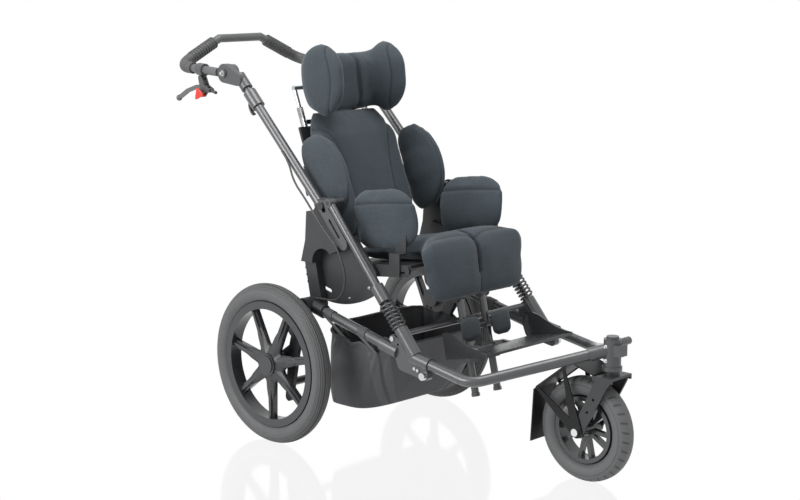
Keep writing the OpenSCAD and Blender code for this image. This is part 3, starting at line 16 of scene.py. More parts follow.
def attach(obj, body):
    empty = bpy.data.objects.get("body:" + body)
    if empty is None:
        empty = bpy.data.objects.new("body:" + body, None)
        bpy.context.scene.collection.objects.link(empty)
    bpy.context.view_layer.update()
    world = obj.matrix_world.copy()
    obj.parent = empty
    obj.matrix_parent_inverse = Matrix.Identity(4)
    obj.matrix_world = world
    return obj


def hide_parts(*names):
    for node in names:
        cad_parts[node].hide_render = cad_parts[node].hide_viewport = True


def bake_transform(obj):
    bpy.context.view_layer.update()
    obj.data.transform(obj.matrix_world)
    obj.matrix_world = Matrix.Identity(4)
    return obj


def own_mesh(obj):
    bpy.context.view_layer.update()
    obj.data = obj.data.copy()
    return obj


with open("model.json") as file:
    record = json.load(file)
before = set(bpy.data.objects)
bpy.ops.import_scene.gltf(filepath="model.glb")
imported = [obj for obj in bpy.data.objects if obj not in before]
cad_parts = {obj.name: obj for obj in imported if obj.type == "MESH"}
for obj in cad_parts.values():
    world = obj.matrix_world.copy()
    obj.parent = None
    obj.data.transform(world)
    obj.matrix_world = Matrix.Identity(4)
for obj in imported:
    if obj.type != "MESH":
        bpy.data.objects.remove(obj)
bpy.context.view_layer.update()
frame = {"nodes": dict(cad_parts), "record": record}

NODES = frame["nodes"]
AXLE_Y = 205.727
SIDES = (("right", -1), ("left", 1))
scene = bpy.context.scene


def at(x, y, z):
    """A place in millimetres, measured from the ground below the rear axle, as metres in the frame."""
    return Vector((x, y + AXLE_Y, z)) / 1000


# %% [markdown]
# ## Camera
# The camera stands where the photographer stood: in front of the buggy, on the side of the brake lever, a
# little above the seat. A long lens keeps the wheels round.

# %% Camera
YAW, PITCH, ROLL = (radians(angle) for angle in (-45.96, 10.19, -0.15))
FOCAL_PIXELS, FRAME_WIDTH, SENSOR = 1593.1, 800, 36
CAMERA_PLACE = at(-2824.5, -2886.6, 1170.7)
turned = Matrix.Rotation(YAW, 3, "Z") @ Matrix.Rotation(pi / 2 - PITCH, 3, "X") @ Matrix.Rotation(ROLL, 3, "Z")
lens = bpy.data.cameras.new("camera")
lens.sensor_width = SENSOR
lens.lens = SENSOR * FOCAL_PIXELS / FRAME_WIDTH
camera = bpy.data.objects.new("camera", lens)
camera.matrix_world = Matrix.LocRotScale(CAMERA_PLACE, turned, None)
scene.collection.objects.link(camera)
scene.camera = camera
print("lens", round(lens.lens, 1), "mm")

# %% [markdown]
# ## Pieces and nodes
# The room, the finishes and the repeated parts are all drawn by nodes. A few short functions make a piece, add a
# node, set its inputs and join it to others.

# %% Helpers
# The finishes by name, filled in below
FINISH = {}


def new_piece(name, corners, faces, finish, smooth=True):
    """An object with its place in its mesh, in one of the finishes."""
    mesh = bpy.data.meshes.new(name)
    mesh.from_pydata([tuple(c) for c in corners], [], [tuple(f) for f in faces])
    mesh.polygons.foreach_set("use_smooth", [smooth] * len(mesh.polygons))
    mesh.materials.append(FINISH[finish])
    piece = bpy.data.objects.new(name, mesh)
    scene.collection.objects.link(piece)
    return piece


def new_node(tree, kind, group=None, **values):
    """A node with some inputs set; a blank in an input's name is written as an underscore."""
    node = tree.nodes.new(kind)
    if group:
        node.node_tree = group
    for label, value in values.items():
        node.inputs[label.replace("_", " ")].default_value = value
    return node


def connect(tree, *links):
    """Feeds each input of a pair with a socket or a plain number."""
    for source, target in links:
        if isinstance(source, (int, float)):
            target.default_value = source
        else:
            tree.links.new(source, target)


def chain(tree, *nodes):
    """Joins nodes in a row, first output to first input."""
    connect(tree, *((a.outputs[0], b.inputs[0]) for a, b in zip(nodes, nodes[1:])))


def arithmetic(tree):
    """A function that adds one step of arithmetic to a node tree."""
    def calc(operation, a, b=0.0, clamp=False):
        node = tree.nodes.new("ShaderNodeMath")
        node.operation, node.use_clamp = operation, clamp
        connect(tree, (a, node.inputs[0]), (b, node.inputs[1]))
        return node.outputs[0]
    return calc


def geometry_tree(name):
    """An empty node tree that draws geometry, a function that adds nodes to it, and its output."""
    tree = bpy.data.node_groups.new(name, "GeometryNodeTree")
    for direction in ("INPUT", "OUTPUT"):
        tree.interface.new_socket("Geometry", in_out=direction, socket_type="NodeSocketGeometry")
    out = tree.nodes.new("NodeGroupOutput")
    return tree, lambda kind, **values: new_node(tree, "GeometryNode" + kind, **values), out


# %% [markdown]
# ## Studio
# A white room: the world is white where the camera or a mirror looks at it, and dimmer as a lamp. Three large soft
# boxes give the tubes their long highlights. The floor is pale and slightly polished, so the wheels show in it.

# %% Studio
WHITE, FLOOR_WHITE = (1, 1, 1, 1), (0.86, 0.86, 0.86, 1)
WORLD_LAMP, FLOOR_POLISH, FLOOR_ROUGH, FLOOR_HALF = 0.36, 0.11, 0.09, 9
AIM = Vector((0, 0, 0.5))


def mix_by_ray(tree, plain, seen):
    """Shows one shader to the camera, to mirrors and through glass, and another one to everything else."""
    path, mix = new_node(tree, "ShaderNodeLightPath"), new_node(tree, "ShaderNodeMixShader")
    calc = arithmetic(tree)
    straight, mirrored, through = (path.outputs[f"Is {ray} Ray"] for ray in ("Camera", "Glossy", "Transmission"))
    any_ray = calc("MAXIMUM", calc("MAXIMUM", straight, mirrored), through)
    connect(tree, (any_ray, mix.inputs[0]), (plain.outputs[0], mix.inputs[1]), (seen.outputs[0], mix.inputs[2]))
    return mix


scene.view_settings.view_transform = "Standard"
world = bpy.data.worlds.new("studio")
world.use_nodes = True
scene.world = world
tree = world.node_tree
tree.nodes.clear()
lamp = new_node(tree, "ShaderNodeBackground", Color=WHITE, Strength=WORLD_LAMP)
white = new_node(tree, "ShaderNodeBackground", Color=WHITE)
chain(tree, mix_by_ray(tree, lamp, white), new_node(tree, "ShaderNodeOutputWorld"))


def soft_box(name, place, size, watts):
    """A large lamp that looks at the seat; place and size are in metres."""
    light = bpy.data.lights.new(name, "AREA")
    light.shape, light.size, light.size_y, light.energy = "RECTANGLE", size[0], size[1], watts
    box = bpy.data.objects.new(name, light)
    box.location = place
    box.rotation_euler = (AIM - Vector(place)).to_track_quat("-Z", "Y").to_euler()
    scene.collection.objects.link(box)


soft_box("key_light", (-3.2, 0.9, 1.8), (1.9, 1.9), 92)
soft_box("top_light", (-0.3, -0.4, 3.3), (1.6, 2.2), 64)
soft_box("front_light", (0.9, -3.4, 1.5), (0.9, 1.6), 14)

floor_paint = FINISH["floor"] = bpy.data.materials.new("floor_white")
floor_paint.use_nodes = True
tree = floor_paint.node_tree
tree.nodes.clear()
diffuse = new_node(tree, "ShaderNodeBsdfDiffuse", Color=FLOOR_WHITE)
glow = new_node(tree, "ShaderNodeEmission")
gloss = new_node(tree, "ShaderNodeBsdfGlossy", Color=WHITE, Roughness=FLOOR_ROUGH)
polish = new_node(tree, "ShaderNodeMixShader")
connect(tree, (FLOOR_POLISH, polish.inputs[0]), (glow.outputs[0], polish.inputs[1]),
        (gloss.outputs[0], polish.inputs[2]))
chain(tree, mix_by_ray(tree, diffuse, polish), new_node(tree, "ShaderNodeOutputMaterial"))
floor_corners = [(FLOOR_HALF * x, FLOOR_HALF * y, 0) for x, y in ((-1, -1), (1, -1), (1, 1), (-1, 1))]
floor = new_piece("floor", floor_corners, [(0, 1, 2, 3)], "floor", smooth=False)

# %% [markdown]
# ## Shared surface effects
# Real surfaces are never one colour. Node groups are built once and used by many finishes: uneven colour and
# gloss, the fine grain of powder paint and moulded plastic, the knit of a stretch cover and the tread of a tyre.

# %% Node groups
SOCKET_KINDS = {"Color": "Color", "Hub": "Vector"}


def node_group(name, inputs, outputs):
    """A node group with its own sockets; those that aren't in the table above carry plain numbers."""
    group = bpy.data.node_groups.new(name, "ShaderNodeTree")
    for direction, labels in (("INPUT", inputs), ("OUTPUT", outputs)):
        for label in labels:
            kind = "NodeSocket" + SOCKET_KINDS.get(label, "Float")
            group.interface.new_socket(label, in_out=direction, socket_type=kind)
    return group, group.nodes.new("NodeGroupInput").outputs, group.nodes.new("NodeGroupOutput").inputs


def noise_node(tree, scale, detail=2.0):
    noise = new_node(tree, "ShaderNodeTexNoise", Detail=detail)
    place = new_node(tree, "ShaderNodeTexCoord").outputs["Object"]
    connect(tree, (place, noise.inputs["Vector"]), (scale, noise.inputs["Scale"]))
    return noise.outputs[0]


def scaled(tree, color, factor):
    """A colour times a number."""
    node = new_node(tree, "ShaderNodeVectorMath")
    node.operation = "SCALE"
    connect(tree, (color, node.inputs[0]), (factor, node.inputs["Scale"]))
    return node.outputs[0]


uneven, u_in, u_out = node_group("uneven", ("Color", "Spread", "Scale", "Roughness", "Rub"), ("Color", "Roughness"))
calc = arithmetic(uneven)
gain = calc("ADD", calc("MULTIPLY", calc("SUBTRACT", noise_node(uneven, u_in["Scale"], 4.0), 0.5), u_in["Spread"]), 1.0)
rubbed = calc("MULTIPLY", calc("SUBTRACT", noise_node(uneven, 9.0, 3.0), 0.5), u_in["Rub"])
connect(uneven, (scaled(uneven, u_in["Color"], gain), u_out["Color"]),
        (calc("ADD", rubbed, u_in["Roughness"], True), u_out["Roughness"]))

grain, g_in, g_out = node_group("grain", ("Scale",), ("Height",))
connect(grain, (noise_node(grain, g_in["Scale"]), g_out["Height"]))

knit, k_in, k_out = node_group("knit", ("Scale",), ("Height", "Shade"))
calc = arithmetic(knit)
cells = new_node(knit, "ShaderNodeTexVoronoi", Randomness=0.35)
place = new_node(knit, "ShaderNodeTexCoord").outputs["Object"]
connect(knit, (place, cells.inputs["Vector"]), (k_in["Scale"], cells.inputs["Scale"]))
loops = calc("SUBTRACT", 1.0, cells.outputs["Distance"], True)
slack = calc("MULTIPLY", noise_node(knit, 90.0, 3.0), 0.6)
connect(knit, (calc("ADD", loops, slack), k_out["Height"]), (loops, k_out["Shade"]))

tread, t_in, t_out = node_group("tread", ("Hub", "Ring", "Ribs", "Slits"), ("Height", "Shade"))
calc = arithmetic(tread)
SLANT = 0.3


def ramp(value, start, end):
    return calc("DIVIDE", calc("SUBTRACT", value, start), end - start, True)


# The lean of a point is its angle, in radians, from the middle of the tread round the tyre's section
from_hub, parts = new_node(tread, "ShaderNodeVectorMath"), new_node(tread, "ShaderNodeSeparateXYZ")
from_hub.operation = "SUBTRACT"
connect(tread, (new_node(tread, "ShaderNodeTexCoord").outputs["Object"], from_hub.inputs[0]),
        (t_in["Hub"], from_hub.inputs[1]), (from_hub.outputs[0], parts.inputs[0]))
width, length, height = parts.outputs
radius = calc("SQRT", calc("ADD", calc("POWER", length, 2.0), calc("POWER", height, 2.0)))
turn = calc("DIVIDE", calc("ARCTAN2", height, length), tau)
lean = calc("ARCTAN2", width, calc("SUBTRACT", radius, t_in["Ring"]))
away = calc("ABSOLUTE", lean)
crown = ramp(away, 1.25, 1.1)
wave = calc("COSINE", calc("MULTIPLY", lean, t_in["Ribs"]))
ribs = calc("MULTIPLY", wave, 0.5)
saw = calc("FRACT", calc("ADD", calc("MULTIPLY", turn, t_in["Slits"]), calc("MULTIPLY", away, SLANT)))
near_slit = ramp(calc("ABSOLUTE", calc("SUBTRACT", saw, 0.5)), 0.13, 0.07)
band = calc("MULTIPLY", ramp(away, 0.22, 0.32), ramp(away, 1.02, 0.9))
some = calc("MINIMUM", calc("MULTIPLY", t_in["Slits"], 10.0), 1.0)
slits = calc("MULTIPLY", calc("MULTIPLY", near_slit, band), some)
step = ramp(calc("ABSOLUTE", calc("SUBTRACT", away, 1.32)), 0.07, 0.03)
cut = calc("ADD", slits, calc("MULTIPLY", step, 0.5))
# Painted shade: the colour is darkened in the furrows between the ribs, in the slits and in the groove round the
# shoulder
furrow_painted_shade = calc("MULTIPLY", calc("SUBTRACT", 1.0, wave), calc("MULTIPLY", crown, 0.3))
shade = calc("SUBTRACT", calc("SUBTRACT", 1.1, furrow_painted_shade), calc("MULTIPLY", cut, 0.6))
connect(tread, (calc("SUBTRACT", calc("MULTIPLY", ribs, crown), cut), t_out["Height"]), (shade, t_out["Shade"]))
print("groups", [g.name for g in bpy.data.node_groups])

# %% [markdown]
# ## Finishes
# Each finish is one material: paint on the tubes, moulded plastic, bare steel, tyre rubber, stretch fabric. The
# colour and gloss come from the groups, and what is the same all over is set on the shader itself.

# %% Finishes
COAT_ROUGH, SHEEN_ROUGH, PLASTIC_GRAIN = 0.14, 0.45, 1300.0


def surface(name, color, rough, spread=0.25, scale=30.0, rub=0.12, grain_scale=900.0, lift=0.00005, strength=0.25,
            metallic=0.0, coat=0.0, sheen=0.0, specular=0.5):
    """A finish with uneven colour and gloss and a fine grain; lift is the height of its relief in metres."""
    material = bpy.data.materials.new(name)
    material.use_nodes = True
    tree = material.node_tree
    shader = tree.nodes["Principled BSDF"]
    for label, value in (("Metallic", metallic), ("Coat Weight", coat), ("Coat Roughness", COAT_ROUGH),
                         ("Sheen Weight", sheen), ("Sheen Roughness", SHEEN_ROUGH), ("Specular IOR Level", specular)):
        shader.inputs[label].default_value = value
    tone = new_node(tree, "ShaderNodeGroup", uneven, Color=(*color, 1), Spread=spread, Scale=scale, Roughness=rough,
                    Rub=rub)
    bump = new_node(tree, "ShaderNodeBump", Strength=strength, Distance=lift)
    relief = new_node(tree, "ShaderNodeGroup", grain, Scale=grain_scale)
    connect(tree, (tone.outputs["Color"], shader.inputs["Base Color"]), (bump.outputs[0], shader.inputs["Normal"]),
            (tone.outputs["Roughness"], shader.inputs["Roughness"]), (relief.outputs[0], bump.inputs["Height"]))
    return material


def moulded(name, color, rough, strength=0.25, **more):
    """Moulded plastic with an even fine grain."""
    return surface(name, color, rough, grain_scale=PLASTIC_GRAIN, strength=strength, **more)


def shaded(tree, factor):
    """Multiplies a finish's colour by a factor, which holds painted shade and, on cloth, the knit pattern too."""
    color = tree.nodes["Principled BSDF"].inputs["Base Color"]
    connect(tree, (scaled(tree, color.links[0].from_socket, factor), color))


def cloth(name, color, rough, scale, lift, sheen):
    """Knitted cover whose seams, kept as an attribute on the mesh, are darkened with painted shade; a mark below zero
    paints a highlight.
    """
    material = surface(name, color, rough, spread=0.35, scale=14.0, rub=0.1, lift=lift, strength=0.5, sheen=sheen,
                       specular=0.25)
    tree = material.node_tree
    loops = new_node(tree, "ShaderNodeGroup", knit, Scale=scale)
    connect(tree, (loops.outputs["Height"], tree.nodes["Bump"].inputs["Height"]))
    seam = new_node(tree, "ShaderNodeAttribute")
    seam.attribute_name = "seam"
    calc = arithmetic(tree)
    # The seam attribute is painted shade: it darkens the colour by half of its value, and a value below zero lightens
    # it as a painted highlight
    seam_painted_shade = calc("ADD", calc("MULTIPLY", seam.outputs["Fac"], -0.5), 1.0)
    flecks = calc("MULTIPLY", noise_node(tree, 460.0), 0.9)
    shade = calc("ADD", calc("ADD", calc("MULTIPLY", loops.outputs["Shade"], 0.3), flecks), 0.35)
    shaded(tree, calc("MULTIPLY", seam_painted_shade, shade))
    return material


def rubber(name, tone, hub, ring, ribs, slits):
    """Tyre rubber with raised ribs round the wheel or slanted slits across the tread, with painted shade in the
    grooves.
    """
    material = surface(name, (0.98 * tone, tone, 1.02 * tone), 0.56, grain_scale=700.0, lift=0.0012, strength=0.8,
                       specular=0.4)
    tree = material.node_tree
    height = tree.nodes["Bump"].inputs["Height"]
    pattern = new_node(tree, "ShaderNodeGroup", tread, Hub=hub, Ring=ring, Ribs=ribs, Slits=slits)
    calc = arithmetic(tree)
    fine = calc("MULTIPLY", height.links[0].from_socket, 0.08)
    connect(tree, (calc("ADD", pattern.outputs["Height"], fine), height))
    shaded(tree, pattern.outputs["Shade"])
    return material


FINISH.update({
    "frame_paint": surface("graphite_paint", (0.058, 0.060, 0.064), 0.31, coat=0.45, grain_scale=1500.0, strength=0.06),
    "dark_plastic": moulded("moulded_black", (0.027, 0.028, 0.030), 0.40),
    "deep_plastic": moulded("moulded_deep_black", (0.009, 0.0095, 0.0105), 0.44, specular=0.25),
    "gloss_plastic": moulded("moulded_gloss_black", (0.030, 0.032, 0.035), 0.27, 0.1, coat=0.3),
    "mid_plastic": moulded("moulded_satin", (0.062, 0.065, 0.069), 0.36, 0.2, coat=0.15),
    "handle_paint": surface("handle_grey", (0.105, 0.107, 0.109), 0.38, grain_scale=1500.0, strength=0.35),
    "grey_plastic": surface("moulded_grey", (0.070, 0.073, 0.077), 0.36, grain_scale=1200.0, strength=0.2, coat=0.15),
    "steel": surface("bright_steel", (0.62, 0.63, 0.64), 0.24, spread=0.1, grain_scale=500.0, metallic=1.0),
    "grip_rubber": surface("grip_rubber", (0.070, 0.071, 0.072), 0.55, grain_scale=1100.0, strength=0.5),
    "spring": surface("spring_steel", (0.085, 0.087, 0.09), 0.32, metallic=0.7, spread=0.15),
    "red_plastic": surface("red_plastic", (0.62, 0.035, 0.022), 0.30, grain_scale=1500.0),
    "seat_fabric": cloth("stretch_cover", (0.053, 0.067, 0.078), 0.82, 620.0, 0.00025, 0.18),
    "calf_cover": cloth("calf_cover", (0.040, 0.047, 0.052), 0.6, 420.0, 0.0003, 0.1),
    "basket_cloth": cloth("basket_nylon", (0.080, 0.082, 0.087), 0.62, 900.0, 0.00016, 0.1),
})
REAR_HUB, FRONT_HUB = (294, 0, 200), (0, -750, 123)
REAR_TREAD = {"tone": 0.090, "ring": 0.180, "ribs": 24, "slits": 0}
FRONT_TREAD = {"tone": 0.108, "ring": 0.100, "ribs": 0, "slits": 34}
for side, sign in SIDES:
    tyre = "rear_tyre_" + side
    FINISH[tyre] = rubber(tyre + "_rubber", hub=at(sign * REAR_HUB[0], *REAR_HUB[1:]), **REAR_TREAD)
FINISH["front_tyre"] = rubber("front_tyre_rubber", hub=at(*FRONT_HUB), **FRONT_TREAD)
LOOKS = {"mid_plastic": ("head_block", "foot_carriage", "inner_tube_right", "inner_tube_left", "brake_mount"),
         "gloss_plastic": ("footplate", "rear_rim_right", "rear_rim_left", "front_rim"),
         "dark_plastic": ("caster_fork", "carrier_right", "carrier_left"), "deep_plastic": ("caster_guard",)}
LOOK_OF = {name: finish for finish, names in LOOKS.items() for name in names}
for part in frame["record"]["subparts"]:
    name = part["node"]
    finish = name if name in FINISH else LOOK_OF.get(name, part["material_slot"])
    NODES[name].data.materials.clear()
    NODES[name].data.materials.append(FINISH[finish])
print("finishes", len(FINISH))

# %% [markdown]
# ## Sewn pads
# A pad is foam in a stretch cover. Its CAD form is copied, remeshed finely and puffed up by a cloth simulation with
# a little inside pressure, so the cover swells between its seams. The seams are pressed in afterwards, because the
# remesh would wipe them out. Shapes are given in millimetres: x across, f forward and u up from the seat, s up the
# back and o out of it, v up the headrest, n outwards from the middle.

# %% Helpers for pads
def shells(node):
    """The separate closed shells of a CAD node as corner and face lists, largest first."""
    work = bmesh.new()
    work.from_mesh(NODES[node].data)
    bmesh.ops.remove_doubles(work, verts=work.verts, dist=1e-6)
    left, found = set(work.faces), []
    while left:
        stack = [left.pop()]
        group = set(stack)
        while stack:
            for edge in stack.pop().edges:
                for face in edge.link_faces:
                    if face in left:
                        left.remove(face)
                        group.add(face)
                        stack.append(face)
        corners = sorted({v for f in group for v in f.verts}, key=lambda v: v.index)
        number = {v: i for i, v in enumerate(corners)}
        found.append(([tuple(v.co) for v in corners], [[number[v] for v in f.verts] for f in group]))
    work.free()
    return sorted(found, key=lambda s: -np.ptp(np.array(s[0]), axis=0).prod())


def settle(piece):
    """Turns a piece with its modifiers into a plain mesh."""
    graph = bpy.context.evaluated_depsgraph_get()
    graph.update()
    mesh = bpy.data.meshes.new_from_object(piece.evaluated_get(graph), depsgraph=graph)
    piece.modifiers.clear()
    old, piece.data = piece.data, mesh
    bpy.data.meshes.remove(old)
    mesh.name = piece.name


def places(piece, kind="co"):
    """The place of every corner, or with the kind normal the way that it faces."""
    values = np.empty(len(piece.data.vertices) * 3)
    piece.data.vertices.foreach_get(kind, values)
    return values.reshape(-1, 3)


def directions(piece):
    return places(piece, "normal")


def put(piece, co):
    """Moves the corners to new places."""
    piece.data.vertices.foreach_set("co", np.ascontiguousarray(co, dtype=np.float32).ravel())
    piece.data.update()


def ironed(piece, rounds):
    """Evens out a mesh: each corner moves halfway to the middle of its neighbours."""
    edges = np.empty(len(piece.data.edges) * 2, int)
    piece.data.edges.foreach_get("vertices", edges)
    a, b = edges.reshape(-1, 2).T
    co = places(piece)
    count = np.bincount(np.r_[a, b], minlength=len(co))[:, None]
    for _ in range(rounds):
        total = np.zeros_like(co)
        np.add.at(total, a, co[b])
        np.add.at(total, b, co[a])
        co = co + 0.5 * (total / count - co)
    put(piece, co)


PUFF_FRAMES, PUFF_QUALITY, STRETCH, BENDING = 20, 4, 12, 2
COVER_GAP, LAST_IRON = 0.002, 3


def puffed(piece, pressure, cap):
    """Swells a closed cover with cloth under pressure; no point moves further than the cap."""
    before = places(piece)
    cover = piece.modifiers.new("cover", "CLOTH")
    cover.settings.use_pressure = True
    cover.settings.uniform_pressure_force = pressure
    cover.settings.effector_weights.gravity = 0
    cover.settings.quality = PUFF_QUALITY
    cover.settings.tension_stiffness = cover.settings.compression_stiffness = STRETCH
    cover.settings.bending_stiffness = BENDING
    cover.point_cache.frame_start, cover.point_cache.frame_end = 1, PUFF_FRAMES
    for step in range(1, PUFF_FRAMES + 1):
        scene.frame_set(step)
    settle(piece)
    scene.frame_set(1)
    move = places(piece) - before
    far = np.linalg.norm(move, axis=1, keepdims=True)
    put(piece, before + move * np.minimum(1, cap / np.maximum(far, 1e-9)))


def to_line(points, line):
    """Distance of each point to a run of straight pieces."""
    best = np.full(len(points), 1e9)
    for a, b in zip(line[:-1], line[1:]):
        run = b - a
        t = np.clip((points - a) @ run / max(run @ run, 1e-12), 0, 1)
        best = np.minimum(best, np.linalg.norm(points - a - t[:, None] * run, axis=1))
    return best


def pad(name, shell, voxel=0.005, pressure=4.0, cap=0.005, shape=None, cover="seat_fabric", iron=3, soft=6):
    """A puffed pad from a shell of the CAD model; shape moves points first to the sewn outline."""
    piece = new_piece(name, *shell, cover)
    cut = piece.modifiers.new("remesh", "REMESH")
    cut.mode, cut.voxel_size, cut.use_smooth_shade = "VOXEL", voxel, True
    settle(piece)
    ironed(piece, soft)
    if shape:
        put(piece, shape(places(piece)))
        ironed(piece, iron)
    put(piece, places(piece) - directions(piece) * COVER_GAP)
    puffed(piece, pressure, cap)
    ironed(piece, LAST_IRON)
    fine = piece.modifiers.new("fine", "SUBSURF")
    fine.levels = fine.render_levels = 1
    settle(piece)
    return piece


def sew(piece, depth, painted_seam_shading):
    """Presses seams in by depth, metres, and marks them with painted shade in the cover's colour; a mark below zero
    paints a highlight.
    """
    put(piece, places(piece) - directions(piece) * depth[:, None])
    seam = piece.data.attributes.new("seam", "FLOAT", "POINT")
    seam.data.foreach_set("value", np.ascontiguousarray(painted_seam_shading, dtype=np.float32))


def groove(distance, width):
    """1 on a line, falling to 0 beside it."""
    return np.exp(-(distance / width) ** 2)


def along(co, origin, *axes):
    """Millimetres of each point from an origin along some directions."""
    return [1000 * (co - np.array(origin)) @ np.array(axis) for axis in axes]


def moved(co, *moves):
    """Moves points by some amounts, in millimetres, each along a direction."""
    return co + sum(np.outer(amount, axis) for amount, axis in moves) / 1000


def ease(value, start, end):
    """Rises smoothly from 0 at the start to 1 at the end."""
    t = np.clip((value - start) / (end - start), 0, 1)
    return t * t * (3 - 2 * t)


def ring_faces(rings, count, closed=False, inward=False):
    """Quads between rings of corners; closed joins the last ring to the first one."""
    faces = []
    for ring in range(rings if closed else rings - 1):
        a, b = ring * count, (ring + 1) % rings * count
        for k in range(count):
            n = (k + 1) % count
            faces.append((a + k, b + k, b + n, a + n) if inward else (a + k, a + n, b + n, b + k))
    return faces


def face_out(piece, merge=0.0):
    """Joins corners that are closer than merge, turns every face outwards and gives back the area."""
    work = bmesh.new()
    work.from_mesh(piece.data)
    if merge:
        bmesh.ops.remove_doubles(work, verts=work.verts, dist=merge)
    bmesh.ops.recalc_face_normals(work, faces=work.faces)
    area = sum(face.calc_area() for face in work.faces)
    work.to_mesh(piece.data)
    work.free()
    return area


def dress(piece, body):
    """Ties a piece to its body."""
    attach(piece, body)
    print(piece.name, len(piece.data.polygons), "faces")


def done(piece, body, slot, *nodes, fill=None):
    """Makes a piece smooth, ties it to its body and hides the CAD nodes that it stands for; fill is not used."""
    piece.data.polygons.foreach_set("use_smooth", [True] * len(piece.data.polygons))
    dress(piece, body)
    if nodes:
        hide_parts(*nodes)


# %% [markdown]
# ## Brake cable
# The cable leaves a clip on the push tube, runs down past the fold joint, hangs in a loop in front of the side plate
# and ends at the rear joint.

# %% Brake cable
CABLE_ROUTE = [(-224.8, 30, 717.7), (-225.2, 15, 702), (-229, -2, 683), (-236, -20, 660), (-240, -38, 641),
               (-240, -55, 624), (-240, -70, 609), (-240, -86, 592), (-240, -104, 573), (-240, -130, 546),
               (-240, -155, 524), (-240, -174, 506), (-240, -190, 480), (-240, -201, 455), (-240, -204, 430),
               (-239, -199, 408), (-238, -188, 390), (-236, -170, 376), (-234, -146, 371), (-233, -118, 370),
               (-232, -91.7, 367.6)]
CABLE_ROUND = 0.0025


def smooth_path(points, steps=6):
    """A round line through the points."""
    p = np.array([2 * np.array(points[0]) - points[1], *points, 2 * np.array(points[-1]) - points[-2]], float)
    line = []
    for a, b, c, d in zip(p[:-3], p[1:-2], p[2:-1], p[3:]):
        for t in np.arange(steps) / steps:
            line.append(0.5 * (2 * b + (c - a) * t + (2 * a - 5 * b + 4 * c - d) * t ** 2
                               + (3 * b - a - 3 * c + d) * t ** 3))
    return np.array([*line, p[-2]])


def tube_mesh(line, radius, sides=10):
    """Corners and faces of a closed round tube along a line."""
    ahead = np.gradient(line, axis=0)
    ahead /= np.linalg.norm(ahead, axis=1, keepdims=True)
    across = np.cross(ahead[0], (0.3, 0.5, 0.8))
    corners = []
    for place, way in zip(line, ahead):
        across = across - way * (across @ way)
        across /= np.linalg.norm(across)
        lift = np.cross(way, across)
        for a in np.arange(sides) * tau / sides:
            corners.append(place + radius * (cos(a) * across + sin(a) * lift))
    last = (len(line) - 1) * sides
    caps = [tuple(range(sides - 1, -1, -1)), tuple(range(last, last + sides))]
    return corners, ring_faces(len(line), sides) + caps


cable_line = np.array([at(*spot) for spot in smooth_path(CABLE_ROUTE)])
cable = new_piece("brake_cable", *tube_mesh(cable_line, CABLE_ROUND), "dark_plastic")
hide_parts("brake_cable_top", "brake_cable_low")
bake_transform(cable)

# %% [markdown]
# ## Back cushion
# The back is one flat foam with two long seams: they leave the edge near the shoulders, curve in and run down, so
# the middle panel and the two bolsters swell apart.

# %% Back cushion
ACROSS = (1, 0, 0)
BACK_UP, BACK_OUT = (0, 0.350207, 0.936672), (0, -0.936672, 0.350207)
RECLINE = at(0, -49, 450)
BACK_TOP = 0.8012
BOLSTER_LINE = np.array([(145, 322), (118, 316), (101, 296), (88, 260), (79, 216), (73, 160), (71, 96), (71, 20)])


def full_back(co):
    """The cover bulges forward and reaches the side pads; the top stays clear of the headrest."""
    x, s, o = along(co, RECLINE, ACROSS, BACK_UP, BACK_OUT)
    middle = ease(s, 40, 110) * ease(-s, -345, -285)
    return moved(co, (18 * middle * np.clip(x / 139, -1, 1), ACROSS), (18 * middle * ease(o, 14, 50), BACK_OUT),
                 (20 * ease(s, 290, 350), BACK_UP))


back_pad = pad("back_pad", shells("back_cushion")[0], voxel=0.006, cap=0.006, shape=full_back)
low = places(back_pad)
low[:, 2] = np.minimum(low[:, 2], BACK_TOP + 0.15 * np.clip(low[:, 2] - BACK_TOP, 0, 0.012))
put(back_pad, low)
x, s = along(places(back_pad), RECLINE, ACROSS, BACK_UP)
seam = to_line(np.c_[np.abs(x), s], BOLSTER_LINE)
front = np.clip(directions(back_pad) @ np.array(BACK_OUT) * 4, 0, 1)
# The bolster seams are pressed in and darkened with painted shade on the front
sew(back_pad, 0.0035 * groove(seam, 7) * front, groove(seam, 2.2) * front)
done(back_pad, "back", "seat_fabric", "back_cushion", fill=0.8)

# %% [markdown]
# ## Seat cushion
# The seat is narrow between the hip pads and widens in front into a block that hangs down like a flap. A seam runs
# where the top rolls over, and a slit in the middle lets the child's legs part.

# %% Seat cushion
RAKE = radians(7)
SEAT_FORWARD = np.array([0, -cos(RAKE), sin(RAKE)])
SEAT_UP = np.array([0, sin(RAKE), cos(RAKE)])
SEAT_REAR = at(0, -106, 468.5)
SEAT_RUN, SEAT_BEND, SEAT_TURN = 256, 34, radians(85.4)


def seat_run(co):
    """How far each point lies along the seat: the flat run, the round front and then the flap."""
    f, u = along(co, SEAT_REAR, SEAT_FORWARD, SEAT_UP)
    turn = np.arctan2(f - SEAT_RUN, u + SEAT_BEND)
    hang = (f - SEAT_RUN) * cos(SEAT_TURN) - (u + SEAT_BEND) * sin(SEAT_TURN)
    bent = SEAT_RUN + SEAT_BEND * np.minimum(turn, SEAT_TURN) + np.where(turn < SEAT_TURN, 0, np.maximum(hang, 0))
    return np.where(f < SEAT_RUN, f, bent)


def square_front(co):
    """The block's upper edge is squarer than a roll, and its front face stays flat."""
    run, x = seat_run(co), 1000 * co[:, 0]
    f, u = along(co, SEAT_REAR, SEAT_FORWARD, SEAT_UP)
    edge = groove(run - 276, 20) * ease(f + u, 236, 258)
    beside = ease(np.abs(x), 100, 165)
    corner = beside * groove(run - 284, 30) * ease(f + u, 216, 250)
    hem = beside * ease(run, 365, 405)
    wide = 6 * ease(run, 240, 290) * np.clip(np.abs(x) / 176, 0, 1) + 7 * np.maximum(corner, hem)
    return moved(co, (9 * edge + 6 * corner, SEAT_FORWARD + SEAT_UP), (-7 * hem, SEAT_UP), (wide * np.sign(x), ACROSS))


